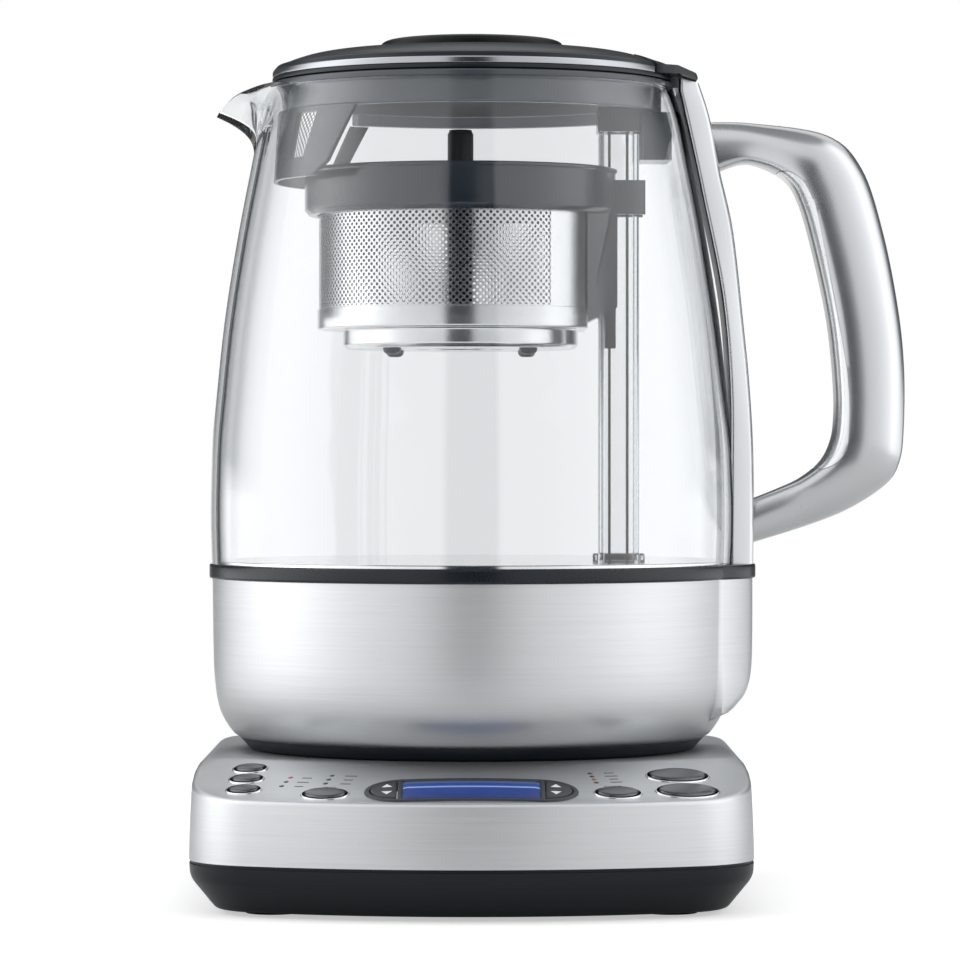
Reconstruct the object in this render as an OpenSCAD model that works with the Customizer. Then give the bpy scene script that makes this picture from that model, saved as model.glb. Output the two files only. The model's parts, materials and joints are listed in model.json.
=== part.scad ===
// Automatic tea maker: a glass jug with a basket that rides up and down, on a powered base.
// Millimetres. +X points to the handle, -Y to the key panel, +Z up.
// The origin is the middle of the object's bounding box, on the table.

/* [Base] */
// Half of the base's width
base_half_w = 94; // [93:0.5:95]
// Distance from the jug's axis to the front of the base
base_front = 118; // [117:0.5:119]
// Distance from the jug's axis to the back of the base
base_back = 100; // [99:0.5:101]
// Radius of the curved front face, seen from above
front_r = 190; // [188:0.5:192]
// Radius of the two front corners, seen from above
front_corner_r = 32; // [30:0.5:34]
// Radius of the two back corners, seen from above
back_corner_r = 45; // [42:0.5:48]
// Height of the flat deck that the jug stands on
deck_z = 50; // [49.5:0.1:50.5]
// Height of the joint between the black tray and the steel shell
shell_z = 17.7; // [17.5:0.1:18]
// Wall thickness of the steel shell
shell_wall = 1.5; // [1.3:0.1:1.6]
// Height of the rubber feet below the tray
foot_h = 1.5; // [1:0.1:2]

/* [Key panel] */
// Radius, from the panel's axis, of the crease where the deck turns down into the panel
crease_r = 152; // [151:0.5:153]
// Fall of the panel for each millimetre of radius
panel_slope = 0.3; // [0.28:0.01:0.32]
// Radius of the middle of the display
display_r = 176.3; // [176:0.1:176.6]
// Half width and half height of the display with its two arrow rockers
display_half = [35, 9.8]; // [9:0.1:36]
// Half width of the display window
window_half_w = 22.5; // [22:0.1:23]
// Place of the tea-type key: degrees from the front, radius from the panel's axis
tea_type_at = [-15.3, 181.3]; // [-30:0.1:190]
// Place of the strength key
strength_at = [15.4, 180.3]; // [-30:0.1:190]
// Place of the auto-start key
auto_start_at = [-24.7, 179.4]; // [-30:0.1:190]
// Place of the keep-warm key
keep_warm_at = [-26, 170]; // [-30:0.1:190]
// Place of the clock key
clock_at = [-27.3, 160.8]; // [-30:0.1:190]
// Place of the hot-water key
hot_water_at = [24.2, 166.6]; // [-30:0.1:190]
// Place of the tea key
tea_at = [23.2, 180.2]; // [-30:0.1:190]
// Length and width of the tea-type and strength keys
middle_key = [14, 8.7]; // [8:0.1:15]
// Length and width of the three small keys on the left
small_key = [10.5, 6.6]; // [6:0.1:11]
// Length and width of the two large keys on the right
large_key = [20.4, 11]; // [10:0.1:21]
// How far a key travels when it is pressed
key_travel = 1; // [0.5:0.1:1]

/* [Jug] */
// Height of the steel body's top edge above the deck
body_top = 59.3; // [59:0.1:59.6]
// Height of the glass rim above the deck
glass_top = 228.8; // [228.5:0.1:229]
// Wall thickness of the glass
glass_wall = 3; // [2.6:0.1:3.2]
// Wall thickness of the jug's steel body
body_wall = 1.2; // [1:0.1:1.4]
// Reach of the handle from the jug's axis
handle_reach = 150.6; // [150:0.1:151]
// Half width of the handle's grip
grip_half_w = 13.5; // [12:0.5:14]
// Half width of the handle's two arms
arm_half_w = 10; // [9:0.5:11]
// Half width of the metal spine behind the glass
spine_half_w = 14.5; // [14:0.1:15]

/* [Basket lift] */
// Distance from the jug's axis to the middle of the guide post
post_x = 51; // [50.8:0.1:51.2]
// Width of the square guide post
post_w = 14; // [13.8:0.1:14]
// Distance from the jug's axis to the middle of the basket, away from the handle
basket_x = -4; // [-4.2:0.1:-3.8]
// Radius of the basket's steel drum
drum_r = 49.3; // [49:0.1:49.5]
// Height of the two pulleys' axes above the deck
pulley_z = [48, 217.9]; // [48:0.1:218]

/* [Hidden] */
$fn = 96;

slice = 0.01;          // thickness of the flat outlines that a hull joins
gland_proud = 1.2;     // how far the cord gland stands out at the back
axis_x = (base_half_w - handle_reach) / 2;
axis_y = (base_front - base_back - gland_proud) / 2;

// ---- curves -------------------------------------------------------------------------------
function arc(centre, r, a0, a1, n, last = true) =
  [for (i = [0 : last ? n : n - 1]) let (a = a0 + (a1 - a0) * i / n) centre + r * [cos(a), sin(a)]];
function knot(p, i) = p[max(0, min(len(p) - 1, i))];
// A smooth curve through the knots p, with n steps from knot to knot
function spline(p, n) = concat(
  [for (i = [0 : len(p) - 2], j = [0 : n - 1])
    let (t = j / n, a = knot(p, i - 1), b = p[i], c = p[i + 1], d = knot(p, i + 2))
    b + 0.5 * t * ((c - a) + t * ((2 * a - 5 * b + 4 * c - d) + t * (3 * b - a - 3 * c + d)))],
  [p[len(p) - 1]]);
function inset_r(p, d) = [for (q = p) [q[0] - d, q[1]]];
function reversed(p) = [for (i = [len(p) - 1 : -1 : 0]) p[i]];
// The closed outline of everything inside the profile p, drawn in by d and longer by more at each end
function fill_of(p, d, more = 0) = concat(
  [[0, p[0][1] - more], [p[0][0] - d, p[0][1] - more]], inset_r(p, d),
  [[p[len(p) - 1][0] - d, p[len(p) - 1][1] + more], [0, p[len(p) - 1][1] + more]]);
function oval(size, grow) = [for (i = [0 : 31]) let (a = i * 360 / 32)
  [(size[0] / 2 + grow) * cos(a), (size[1] / 2 + grow) * sin(a)]];

// A solid skin over rings of points, which turn anticlockwise seen against the direction they follow
module loft(rings) let (n = len(rings[0]), last = len(rings) - 1) polyhedron(
  points = [for (r = rings, p = r) p],
  faces = concat(
    [[for (j = [0 : n - 1]) j]],
    [[for (j = [n - 1 : -1 : 0]) last * n + j]],
    [for (i = [0 : last - 1], j = [0 : n - 1], side = [0, 1])
      let (k = (j + 1) % n, here = i * n, next = here + n)
      side == 0 ? [here + j, next + j, next + k] : [here + j, next + k, here + k]]));

module at_base() translate([axis_x, axis_y, 0]) children();
module at_jug() translate([axis_x, axis_y, deck_z]) children();
module ring_at(centre, n, r, start = 0)
  for (i = [0 : n - 1]) translate(concat(centre, 0)) rotate(start + 360 * i / n)
    translate([r, 0, 0]) children();
module along_y(half) rotate([90, 0, 0]) translate([0, 0, -half]) linear_extrude(2 * half) children();

// ---- base outline -------------------------------------------------------------------------
front_cy = front_r - base_front;
corner_reach = front_r - front_corner_r;
front_corner = [base_half_w - front_corner_r,
  front_cy - sqrt(pow(corner_reach, 2) - pow(base_half_w - front_corner_r, 2))];
front_angle = asin(front_corner[0] / corner_reach);
back_corner = [base_half_w - back_corner_r, base_back - back_corner_r];
function flip(p) = [-p[0], p[1]];
function base_outline(d) = concat(
  arc([0, front_cy], front_r - d, 270 - front_angle, 270 + front_angle, 14, false),
  arc(front_corner, front_corner_r - d, 270 + front_angle, 360, 8),
  arc(back_corner, back_corner_r - d, 0, 90, 10),
  arc(flip(back_corner), back_corner_r - d, 90, 180, 10),
  arc(flip(front_corner), front_corner_r - d, 180, 270 - front_angle, 8, false));
// One smooth body through outlines, each given as [height, inset]
module base_loft(steps) hull() for (s = steps)
  translate([0, 0, s[0]]) linear_extrude(slice) polygon(base_outline(s[1]));

// ---- panel surface ------------------------------------------------------------------------
panel_tilt = atan(panel_slope);
panel_edge_r = front_r + 15;
function panel_z(r) = deck_z - panel_slope * (r - crease_r);
// Everything below the deck and the panel, lowered by drop
module below_panel(drop) translate([0, front_cy, 0]) rotate_extrude($fn = 240) polygon([[0, 0],
  [0, deck_z - drop], [crease_r, deck_z - drop],
  [panel_edge_r, panel_z(panel_edge_r) - drop / cos(panel_tilt)], [panel_edge_r, 0]]);
// A layer that follows the panel, from height low to height high above it
module panel_layer(low, high) translate([0, front_cy, 0]) rotate_extrude($fn = 240)
  let (inner_r = crease_r - 10, lift = 1 / cos(panel_tilt)) polygon([
    [inner_r, panel_z(inner_r) + low * lift], [panel_edge_r, panel_z(panel_edge_r) + low * lift],
    [panel_edge_r, panel_z(panel_edge_r) + high * lift], [inner_r, panel_z(inner_r) + high * lift]]);
// Stands its children on the panel at place = [degrees from the front, radius], +Z outwards
module on_panel(place) translate([0, front_cy, 0]) rotate(place[0])
  translate([0, -place[1], panel_z(place[1])]) rotate([panel_tilt, 0, 0]) children();

display_at = [0, display_r];
left_at = [-21, 171];
right_at = [20, 171];
end_w = display_half[0] - window_half_w;
function display_outline(d) = [for (side = [1, -1], i = [-10 : 10]) let (a = i * 9)
  [side * (window_half_w + (end_w - d) * cos(a)), side * (display_half[1] - d) * sin(a)]];
KEYS = [[tea_type_at, middle_key], [strength_at, middle_key], [auto_start_at, small_key],
  [keep_warm_at, small_key], [clock_at, small_key], [hot_water_at, large_key], [tea_at, large_key]];
// Columns of lamps: degrees from the front, radius of the middle lamp, count, spacing
LAMPS = [[-20.9, 171.3, 3, 3.8], [-16.2, 168.5, 3, 3.5], [13.9, 166.7, 4, 2.7]];
lamp_r = 0.8;
rim_w = 1.3;           // width of the bright rim round a key, with its gap
rim_gap = 0.35;        // gap between a key and its rim
board_top = -10;       // depth of the key boards below the panel
board_t = 1.6;
rocker_x = window_half_w + 1.6;
rocker_axis = -1.6;    // depth of the rockers' pivots below the panel
rocker_pad_y = 5;      // distance from a rocker's pivot to each switch under it
left_posts = [[2, -10.5], [6, 12]];
right_posts = [[-9, 10], [-7, 1]];
middle_posts = [[0, -11.7], [0, 11.7]];
post_r = 1.7;

module lamp_places() for (c = LAMPS, i = [0 : c[2] - 1])
  on_panel([c[0], c[1] + (i - (c[2] - 1) / 2) * c[3]]) children();
module board_posts(places, r, low, high) for (p = places)
  translate([p[0], p[1], low]) cylinder(r = r, h = high - low);
screw_places = [[76, -38], [-76, -38], [78, 30], [-78, 30]];
foot_places = [[66, -76], [-66, -76], [60, 66], [-60, 66]];
tray_floor = 2.5;
tray_z = foot_h;
boss_r = 4;
screw_r = 1.5;
screw_gap = 0.05;
seat_r = 37.6;
gland_at = [-30, 26];  // X and height of the cord gland
gland_bore_r = 3.6;

// ---- base -------------------------------------------------------------------------------
module base_shell() color("silver") at_base() difference() {
  union() {
    difference() {
      intersection() {
        base_loft([[shell_z, 0], [deck_z - 6, 0.9], [deck_z, 4.5]]);
        below_panel(0);
      }
      intersection() {
        base_loft([[shell_z - 1, shell_wall], [deck_z - 7, shell_wall + 0.9],
          [deck_z - shell_wall, shell_wall + 4.5]]);
        below_panel(shell_wall);
      }
    }
    for (p = screw_places) translate([p[0], p[1], tray_z + tray_floor])
      cylinder(r = boss_r, h = deck_z - shell_wall / 2 - tray_z - tray_floor);
    on_panel(left_at) board_posts(left_posts, post_r, board_top, -shell_wall / 2);
    on_panel(right_at) board_posts(right_posts, post_r, board_top, -shell_wall / 2);
    on_panel(display_at) board_posts(middle_posts, post_r, board_top, -shell_wall / 2);
  }
  translate([0, 0, deck_z - 5]) cylinder(r = seat_r + 0.1, h = 10);
  for (p = screw_places) translate([p[0], p[1], 0]) cylinder(r = screw_r + screw_gap, h = 22);
  for (k = KEYS) on_panel(k[0]) translate([0, 0, -4]) linear_extrude(8) polygon(oval(k[1], rim_w + 0.05));
  on_panel(display_at) translate([0, 0, -5]) linear_extrude(10) polygon(display_outline(0.9));
  lamp_places() translate([0, 0, -4]) cylinder(r = lamp_r + 0.15, h = 8, $fn = 8);
  translate([gland_at[0], base_back + 1, gland_at[1]]) rotate([90, 0, 0]) cylinder(r = 5.2, h = 6);
}

module bottom_tray() color("#23272b") at_base() difference() {
  union() {
    difference() {
      base_loft([[tray_z, 9], [12, 0.3], [shell_z - slice, 0]]);
      base_loft([[tray_z + tray_floor, 10.5], [12.5, 2.8], [shell_z + 1, 2.5]]);
    }
    for (x = [-52, 52], y = [-60, -20]) translate([x, y, tray_z + 1]) cylinder(r = 3, h = 10 - tray_z - 1);
  }
  for (p = screw_places) translate([p[0], p[1], 0]) {
    cylinder(r = screw_r + 0.3, h = 10);
    cylinder(r = 3.5, h = tray_z + 1.3);
  }
  for (p = foot_places) translate([p[0], p[1], 0]) cylinder(r = 9.2, h = tray_z + 1);
}

module rubber_feet() color("#1a1a1a") at_base() for (p = foot_places) translate([p[0], p[1], 0]) {
  cylinder(r = 9, h = tray_z + 1);
}

module screw(head_r, head_h, length) {
  cylinder(r = head_r, h = head_h);
  cylinder(r = screw_r, h = head_h + length);
}

module tray_screws() color("gray") at_base() for (p = screw_places)
  translate([p[0], p[1], tray_z + 0.3]) screw(3.2, 1, 18);

module seat_insert() color("#202326") at_base() rotate_extrude() polygon([[17.3, deck_z - 6],
  [42, deck_z - 6], [42, deck_z - shell_wall], [seat_r, deck_z - shell_wall], [seat_r, deck_z],
  [23, deck_z], [21.4, deck_z - 1.8], [17.3, deck_z - 1.8]]);

hub_r = 17;
hub_top = deck_z + 11;
module base_connector() color("#181a1c") at_base() rotate_extrude() polygon([[0, deck_z - 20],
  [hub_r, deck_z - 20], [hub_r, deck_z - 10], [30, deck_z - 10], [30, deck_z - 6], [hub_r, deck_z - 6],
  [hub_r, hub_top - 1], [hub_r - 1, hub_top], [11, hub_top], [11, deck_z], [8.4, deck_z],
  [8.4, hub_top], [3.4, hub_top], [3.4, deck_z - 14], [0, deck_z - 14]]);

module connector_contacts() color("goldenrod") at_base() {
  translate([0, 0, deck_z - 14]) difference() {
    cylinder(r = 3.38, h = 22);
    translate([0, 0, 1]) cylinder(r = 2.6, h = 22);
  }
  translate([0, 0, deck_z]) difference() {
    cylinder(r = 9.4, h = 9);
    translate([0, 0, -1]) cylinder(r = 8.42, h = 11);
  }
}

shroud_gap = 0.05;
module connector_shroud() color("#2b2e31") at_base() translate([0, 0, deck_z + 0.3]) difference() {
  cylinder(r = 20.6, h = 9);
  translate([0, 0, -1]) cylinder(r = hub_r + shroud_gap, h = 11);
}

module cord_gland() color("#1c1e20") at_base() translate([gland_at[0], base_back, gland_at[1]])
  rotate([90, 0, 0]) rotate_extrude() polygon([[gland_bore_r, -gland_proud], [6.4, -gland_proud],
    [7, -gland_proud + 0.6], [7, 0], [5.1, 0], [5.1, 2.4], [7.5, 2.4], [7.5, 8], [5.1, 8], [5.1, 14],
    [gland_bore_r, 14]]);

module main_board() color("#2e5b3c") at_base() translate([-60, -68, 10]) difference() {
  cube([120, 56, board_t]);
  for (x = [8, 112], y = [8, 48]) translate([x, y, -1]) cylinder(r = 1.2, h = 4, $fn = 12);
}

module power_relay() color("#2c3f66") at_base() translate([-45, -42, 10 + board_t]) cube([20, 16, 15]);

// ---- key panel ----------------------------------------------------------------------------
module key_cap(size) {
  translate([0, 0, -2.7]) linear_extrude(1.2) polygon(oval(size, 1.1));
  translate([0, 0, -2.7]) linear_extrude(2.7 + 0.9) polygon(oval(size, 0));
  translate([0, 0, 0.9]) linear_extrude(0.3) polygon(oval(size, -0.5));
  translate([0, 0, -5.6]) cylinder(r = 1.8, h = 3);
}
module key(place, size) color("gainsboro") at_base() on_panel(place) key_cap(size);
module auto_start_button() key(auto_start_at, small_key);
module keep_warm_button() key(keep_warm_at, small_key);
module clock_button() key(clock_at, small_key);
module tea_type_button() key(tea_type_at, middle_key);
module strength_button() key(strength_at, middle_key);
module hot_water_button() key(hot_water_at, large_key);
module tea_button() key(tea_at, large_key);

module button_rims() color("whitesmoke") at_base() for (k = KEYS) on_panel(k[0])
  translate([0, 0, -1.2]) linear_extrude(1.6) difference() {
    polygon(oval(k[1], rim_w));
    polygon(oval(k[1], rim_gap));
  }

module display_column(d, low = -8, high = 8) on_panel(display_at)
  translate([0, 0, low]) linear_extrude(high - low) polygon(display_outline(d));
module panel_bezel() color("#3b4147") at_base() difference() {
  union() {
    intersection() { panel_layer(0.02, 0.6); display_column(0); }
    intersection() { panel_layer(-3, 0.3); display_column(1); }
  }
  on_panel(display_at) {
    translate([-window_half_w, -display_half[1] + 1.9, -8])
      cube([2 * window_half_w, 2 * display_half[1] - 3.8, 16]);
    for (s = [-1, 1]) intersection() {
      translate([0, 0, -8]) linear_extrude(16) polygon(display_outline(1.7));
      translate([s * (rocker_x + 15) - 15, -15, -8]) cube([30, 30, 16]);
    }
    for (s = [-1, 1]) translate([s * (window_half_w + 0.6), 0, rocker_axis]) rotate([0, s * 90, 0])
      cylinder(r = 0.75, h = end_w - 1.1);
  }
}

module display_lens() color("#2743a8") at_base() intersection() {
  panel_layer(-1.6, 0.45);
  on_panel(display_at) translate([-window_half_w + 0.1, -display_half[1] + 2, -8])
    cube([2 * window_half_w - 0.2, 2 * display_half[1] - 4, 16]);
}

module display_module() color("#35507a") at_base() on_panel(display_at)
  translate([-20, -6.5, board_top]) cube([40, 13, -board_top - 2.4]);

module rocker(side) color("#343a40") at_base() {
  intersection() {
    panel_layer(-3, 0.9);
    on_panel(display_at) intersection() {
      translate([0, 0, -8]) linear_extrude(16) polygon(display_outline(2.05));
      translate([side * (rocker_x + 15.35) - 15, -15, -8]) cube([30, 30, 16]);
    }
  }
  on_panel(display_at) {
    translate([side * (window_half_w + 0.9), 0, rocker_axis]) rotate([0, side * 90, 0])
      cylinder(r = 0.7, h = end_w - 2.05);
    for (y = [-rocker_pad_y, rocker_pad_y]) translate([side * 26.4, y, -5.9]) cylinder(r = 1.2, h = 3.5);
  }
}
module temperature_rocker() rocker(-1);
module time_rocker() rocker(1);

module switch_body(plunger_top) {
  translate([-3, -3, board_top - 0.5]) cube([6, 6, 2.9]);
  translate([0, 0, board_top + 2.3]) cylinder(r = 1.6, h = plunger_top - board_top - 2.3);
}
module all_switches() {
  for (k = KEYS) on_panel(k[0]) switch_body(-6.75);
  for (x = [-26.4, 26.4], y = [-rocker_pad_y, rocker_pad_y])
    on_panel(display_at) translate([x, y, 0]) switch_body(-6.6);
}
module all_lamps(high) lamp_places()
  translate([0, 0, board_top - 0.4]) cylinder(r = lamp_r, h = high - board_top + 0.4, $fn = 8);

module tact_switches() color("dimgray") at_base() all_switches();
module indicator_leds() color("mistyrose") at_base() all_lamps(0.2);

module board(low, high) translate([low[0], low[1], board_top - board_t])
  cube([high[0] - low[0], high[1] - low[1], board_t]);
module key_boards() color("#2e5b3c") at_base() difference() {
  union() {
    on_panel(left_at) board([-21, -13.2], [24, 15.5]);
    on_panel(right_at) board([-22, -13.2], [18, 13]);
    on_panel(display_at) board([-32, -13], [32, 13.5]);
  }
  all_switches();
  all_lamps(0.2);
}

// ---- jug body -----------------------------------------------------------------------------
body_z = 4.5;
body_profile = spline([[81, body_z], [83.3, 6.2], [86.8, 11.7], [88.6, 17.3], [89.6, 25.7], [90, 36],
  [90.3, body_top]], 3);
band_h = 5;
band_top = body_top + band_h;
// The bulge under the handle, seen from the side and from above
pod_side = concat([[60, 12]], spline([[84, 12], [88.6, 13.8], [91.7, 16.6], [94.5, 19.4], [96.9, 25],
  [98, 33], [98.3, 47], [98.3, body_top]], 2), [[60, body_top]]);
pod_root_x = 84.6;
pod_half_w = 31;
pod_depth = 13.7;
function pod_plan(d) = concat([[60, -pod_half_w + d], [pod_root_x - d, -pod_half_w + d]],
  [for (i = [-9 : 9]) let (t = i / 10) [pod_root_x + pod_depth * pow(cos(90 * t), 0.8) - d,
    (pod_half_w - d) * t]],
  [[pod_root_x - d, pod_half_w - d], [60, pod_half_w - d]]);
module pod(d) intersection() {
  linear_extrude(body_top + 20) polygon(pod_plan(d));
  translate([-d, 0, d]) along_y(pod_half_w + 5) polygon(pod_side);
}

module steel_body() color("silver") at_jug() difference() {
  union() {
    rotate_extrude() polygon(fill_of(body_profile, 0));
    pod(0);
  }
  rotate_extrude() polygon(fill_of(body_profile, body_wall, 1));
  pod(body_wall);
}

module seal_band() color("#2a2f34") at_jug() difference() {
  union() {
    rotate_extrude() polygon([[70, body_top], [90.8, body_top], [91.4, body_top + 0.7],
      [91.4, band_top - 0.7], [90.8, band_top], [70, band_top]]);
    translate([0, 0, body_top]) linear_extrude(band_h) polygon(pod_plan(-0.5));
  }
  translate([0, 0, body_top - 1]) cylinder(r = 84, h = band_h + 2);
}

module jug_underside() color("#1d2023") at_jug() difference() {
  rotate_extrude() polygon([[24.3, 2.4], [58, 2.4], [60, 0], [77, 0], [80.9, 4.4], [79.4, 4.5],
    [79.4, 7.6], [77.6, 7.6], [77.6, 4.6], [75.5, 2.4], [62, 2.4], [60, 4.8], [24.3, 4.8]]);
  ring_at([0, 0], 3, coupler_screw_r, 60) cylinder(r = screw_r + 0.15, h = 10);
}

coupler_screw_r = 29.5;
module jug_coupler() color("#2b2e31") at_jug() difference() {
  rotate_extrude() polygon([[21.4, 2.4], [24.2, 2.4], [24.2, 4.8], [34, 4.8], [34, 7.3], [24.2, 7.3],
    [24.2, 16], [0, 16], [0, 13.5], [21.4, 13.5]]);
  ring_at([0, 0], 3, coupler_screw_r, 60) cylinder(r = screw_r + screw_gap, h = 20);
}

module coupler_contacts() color("goldenrod") at_jug() {
  translate([0, 0, -8]) cylinder(r = 2.2, h = 21.5);
  translate([0, 0, 3]) difference() {
    cylinder(r = 10.7, h = 10.5);
    translate([0, 0, -1]) cylinder(r = 9.9, h = 12.5);
  }
}

module underside_screws() color("gray") at_jug()
  ring_at([0, 0], 3, coupler_screw_r, 60) translate([0, 0, 1]) screw(3, 1.4, 8);

plate_z = band_top - 1.9;
module heater_plate() color("lightgray") at_jug() difference() {
  rotate_extrude() polygon([[0, plate_z], [83.9, plate_z], [83.9, band_top], [87.2, band_top],
    [87.2, band_top + 0.9], [86.9, band_top + 1.2], [0, band_top + 1.2]]);
  translate([post_x - post_w / 2 - 0.1, -post_w / 2 - 0.1, 50]) cube([post_w + 0.2, post_w + 0.2, 30]);
}

element_r = 52;
module heating_element() color("dimgray") at_jug() translate([0, 0, plate_z - 6]) {
  rotate(50) rotate_extrude(angle = 260) translate([element_r, 0]) square([7, 6]);
  for (s = [-1, 1]) rotate(s * 54) translate([element_r + 3.5, 0, -10]) cylinder(r = 2, h = 10);
}

module temperature_sensor() color("silver") at_jug() translate([-22, 18, plate_z - 7]) {
  cylinder(r = 8, h = 7);
  translate([0, 0, -6]) cylinder(r = 4, h = 6);
}

// ---- basket lift --------------------------------------------------------------------------
motor_y = 9;
shaft_r = 1.5;
belt_r = 2.7;          // inside radius of the belt round a pulley
belt_t = 0.8;
module lift_motor() color("darkgray") at_jug() difference() {
  union() {
    translate([post_x, motor_y + 30, pulley_z[0]]) rotate([90, 0, 0]) cylinder(r = 12, h = 30);
    translate([post_x - 8, motor_y, pulley_z[0]]) cube([16, 3, plate_z - pulley_z[0]]);
  }
  translate([post_x, motor_y + 7, pulley_z[0]]) rotate([90, 0, 0]) cylinder(r = shaft_r + 0.05, h = 12);
}

function post_outline(w, corner) = let (h = w / 2, k = w / 2 - corner) [[-k, -h], [k, -h], [h, -k],
  [h, k], [k, h], [-k, h], [-h, k], [-h, -k]];
post_z = [58, 214];
module guide_post() color("lightcyan", 0.5) at_jug() translate([post_x, 0, 0]) difference() {
  union() {
    translate([0, 0, post_z[0]]) linear_extrude(post_z[1] - post_z[0]) polygon(post_outline(post_w, 1.6));
    translate([0, 0, band_top + 1.2]) linear_extrude(2.4) polygon(post_outline(post_w + 4, 3));
  }
  translate([0, 0, post_z[0] - 1]) linear_extrude(post_z[1] - post_z[0] + 2)
    polygon(post_outline(post_w - 3.4, 0.8));
}

function belt_outline(r) = concat(arc([0, pulley_z[0]], r, 180, 360, 16),
  arc([0, pulley_z[1]], r, 0, 180, 16));
module drive_belt() color("#222222") at_jug() translate([post_x, 0, 0]) along_y(2) difference() {
  polygon(belt_outline(belt_r + belt_t));
  polygon(belt_outline(belt_r));
}

module pulley(z, flange_r) translate([post_x, 0, z]) rotate([90, 0, 0]) {
  translate([0, 0, -3]) cylinder(r = belt_r - 0.3, h = 6);
  for (y = [-3, 2.3]) translate([0, 0, y]) cylinder(r = flange_r, h = 0.7);
}
module drive_pulley() color("ivory") at_jug() {
  pulley(pulley_z[0], 4.4);
  translate([post_x, motor_y + 6.5, pulley_z[0]]) rotate([90, 0, 0])
    cylinder(r = shaft_r, h = motor_y + 6.5 + 4);
}
module idler_pulley() color("ivory") at_jug() {
  pulley(pulley_z[1], 3.7);
  translate([post_x, 6.8, pulley_z[1]]) rotate([90, 0, 0]) cylinder(r = 1.2, h = 13.6);
}

carriage_z = [139, 186];
module magnet_carriage() color("#3c4046") at_jug() difference() {
  translate([post_x - 5.05, -4.6, carriage_z[0]]) cube([4, 9.2, carriage_z[1] - carriage_z[0]]);
  translate([post_x - belt_r - belt_t - 0.3, -2.4, carriage_z[0] - 1])
    cube([belt_t + 0.6, 4.8, carriage_z[1] - carriage_z[0] + 2]);
}

// ---- glass, collar and spout --------------------------------------------------------------
glass_profile = spline([[90.6, band_top + 0.05], [91, 80], [90.8, 93], [90.3, 107], [89, 121], [86, 149],
  [81.6, 177], [77, 201], [73.5, 218], [70.2, glass_top]], 2);
// The spout: a lying cone with upright walls above its axis, cut by its outline from the side
spout_tip = [-90, 220.7];
spout_angle = 41;
spout_length = 24;
spout_side = [[-60, 231.4], [-70, 230.7], [-77.4, 228.6], [-82.6, 226.5], [-85.1, 224.4], [-87.2, 222.3],
  [-88.9, 219.2], [-88.9, 212], [-66, 190], [-60, 190]];
module spout(d) let (w = spout_length * tan(spout_angle))
  translate([spout_tip[0] + d / sin(spout_angle), 0, spout_tip[1]]) {
    rotate([0, 90, 0]) cylinder(r1 = 0.2, r2 = w, h = spout_length);
    linear_extrude(20) polygon([[0, 0.2], [0, -0.2], [spout_length, -w], [spout_length, w]]);
  }
module jug_glass() color("lightcyan", 0.4) at_jug() difference() {
  union() {
    rotate_extrude($fn = 128) polygon(fill_of(glass_profile, 0));
    intersection() {
      spout(0);
      along_y(30) polygon(spout_side);
    }
  }
  rotate_extrude($fn = 128) polygon(fill_of(glass_profile, glass_wall, 1));
  spout(2.2);
  translate([0, 0, glass_top]) cylinder(r = 70.3, h = 10);
}

module top_collar() color("#565e66") at_jug() difference() {
  union() {
    rotate_extrude() polygon([[62.5, 220], [66, 220], [66, glass_top], [70, glass_top],
      [70, glass_top + 2.2], [62.5, glass_top + 2.2]]);
    translate([post_x - 7.4, -9, post_z[1]]) cube([21, 18, 8.5]);
    translate([58.2, -11, 204]) cube([10.8, 22, 16.5]);
    translate([66, -13, glass_top + 0.1]) cube([6.4, 26, 3.5]);
  }
  translate([0, 0, glass_top + 2.2]) cylinder(r = 70, h = 5);
  // The upper pulley's room above the post, open below for the belt
  translate([post_x, 3.4, pulley_z[1]]) rotate([90, 0, 0]) cylinder(r = 4, h = 6.8);
  translate([post_x - 4, -3.4, post_z[1] - 1]) cube([8, 6.8, pulley_z[1] - post_z[1] + 1]);
  translate([post_x, 20, pulley_z[1]]) rotate([90, 0, 0]) cylinder(r = 1.25, h = 27);
}

filter_z = [199, 220];
module spout_filter() color("#565e66") at_jug() difference() {
  rotate(130) rotate_extrude(angle = 100) polygon([[67.6, filter_z[0]], [69.2, filter_z[0]],
    [67.6, filter_z[1]], [66, filter_z[1]]]);
  for (s = [-1, 1]) rotate(180 + s * 50) translate([67, 0, filter_z[0]]) rotate([s * -18, 0, 0])
    translate([-20, s > 0 ? 0 : -20, -10]) cube([40, 20, 40]);
  for (s = [-1, 1]) rotate(180 + s * 22) translate([60, -8, filter_z[0] + 5]) cube([8, 16, 13]);
}

// ---- handle and spine ---------------------------------------------------------------------
handle_outer = [[82.5, 218], [98, 217.5], [123.5, 213.4], [135.7, 201.8], [143.2, 179.5],
  [148.5, 152.7], [handle_reach, 131.4], [150.4, 110.1], [148.9, 99.4], [144.3, 91.9],
  [131.5, 83.4], [115.4, 77], [94, 70.4]];
handle_inner = [[84.5, 200], [96, 203.3], [108.5, 198], [114.3, 188.5], [119.5, 169.5], [124, 147.4],
  [126.1, 126.1], [126.1, 113.3], [124.6, 105.8], [121, 99.4], [114.2, 94], [107, 90.6], [97, 86.6]];
handle_width = [arm_half_w, arm_half_w, 11.5, grip_half_w, grip_half_w, grip_half_w, grip_half_w,
  grip_half_w, 12.8, 12, 11, arm_half_w, arm_half_w];
handle_steps = 3;
handle_sides = 20;
handle_squareness = 0.72;
function soft_sign(v) = sign(v) * pow(abs(v), handle_squareness);
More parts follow.
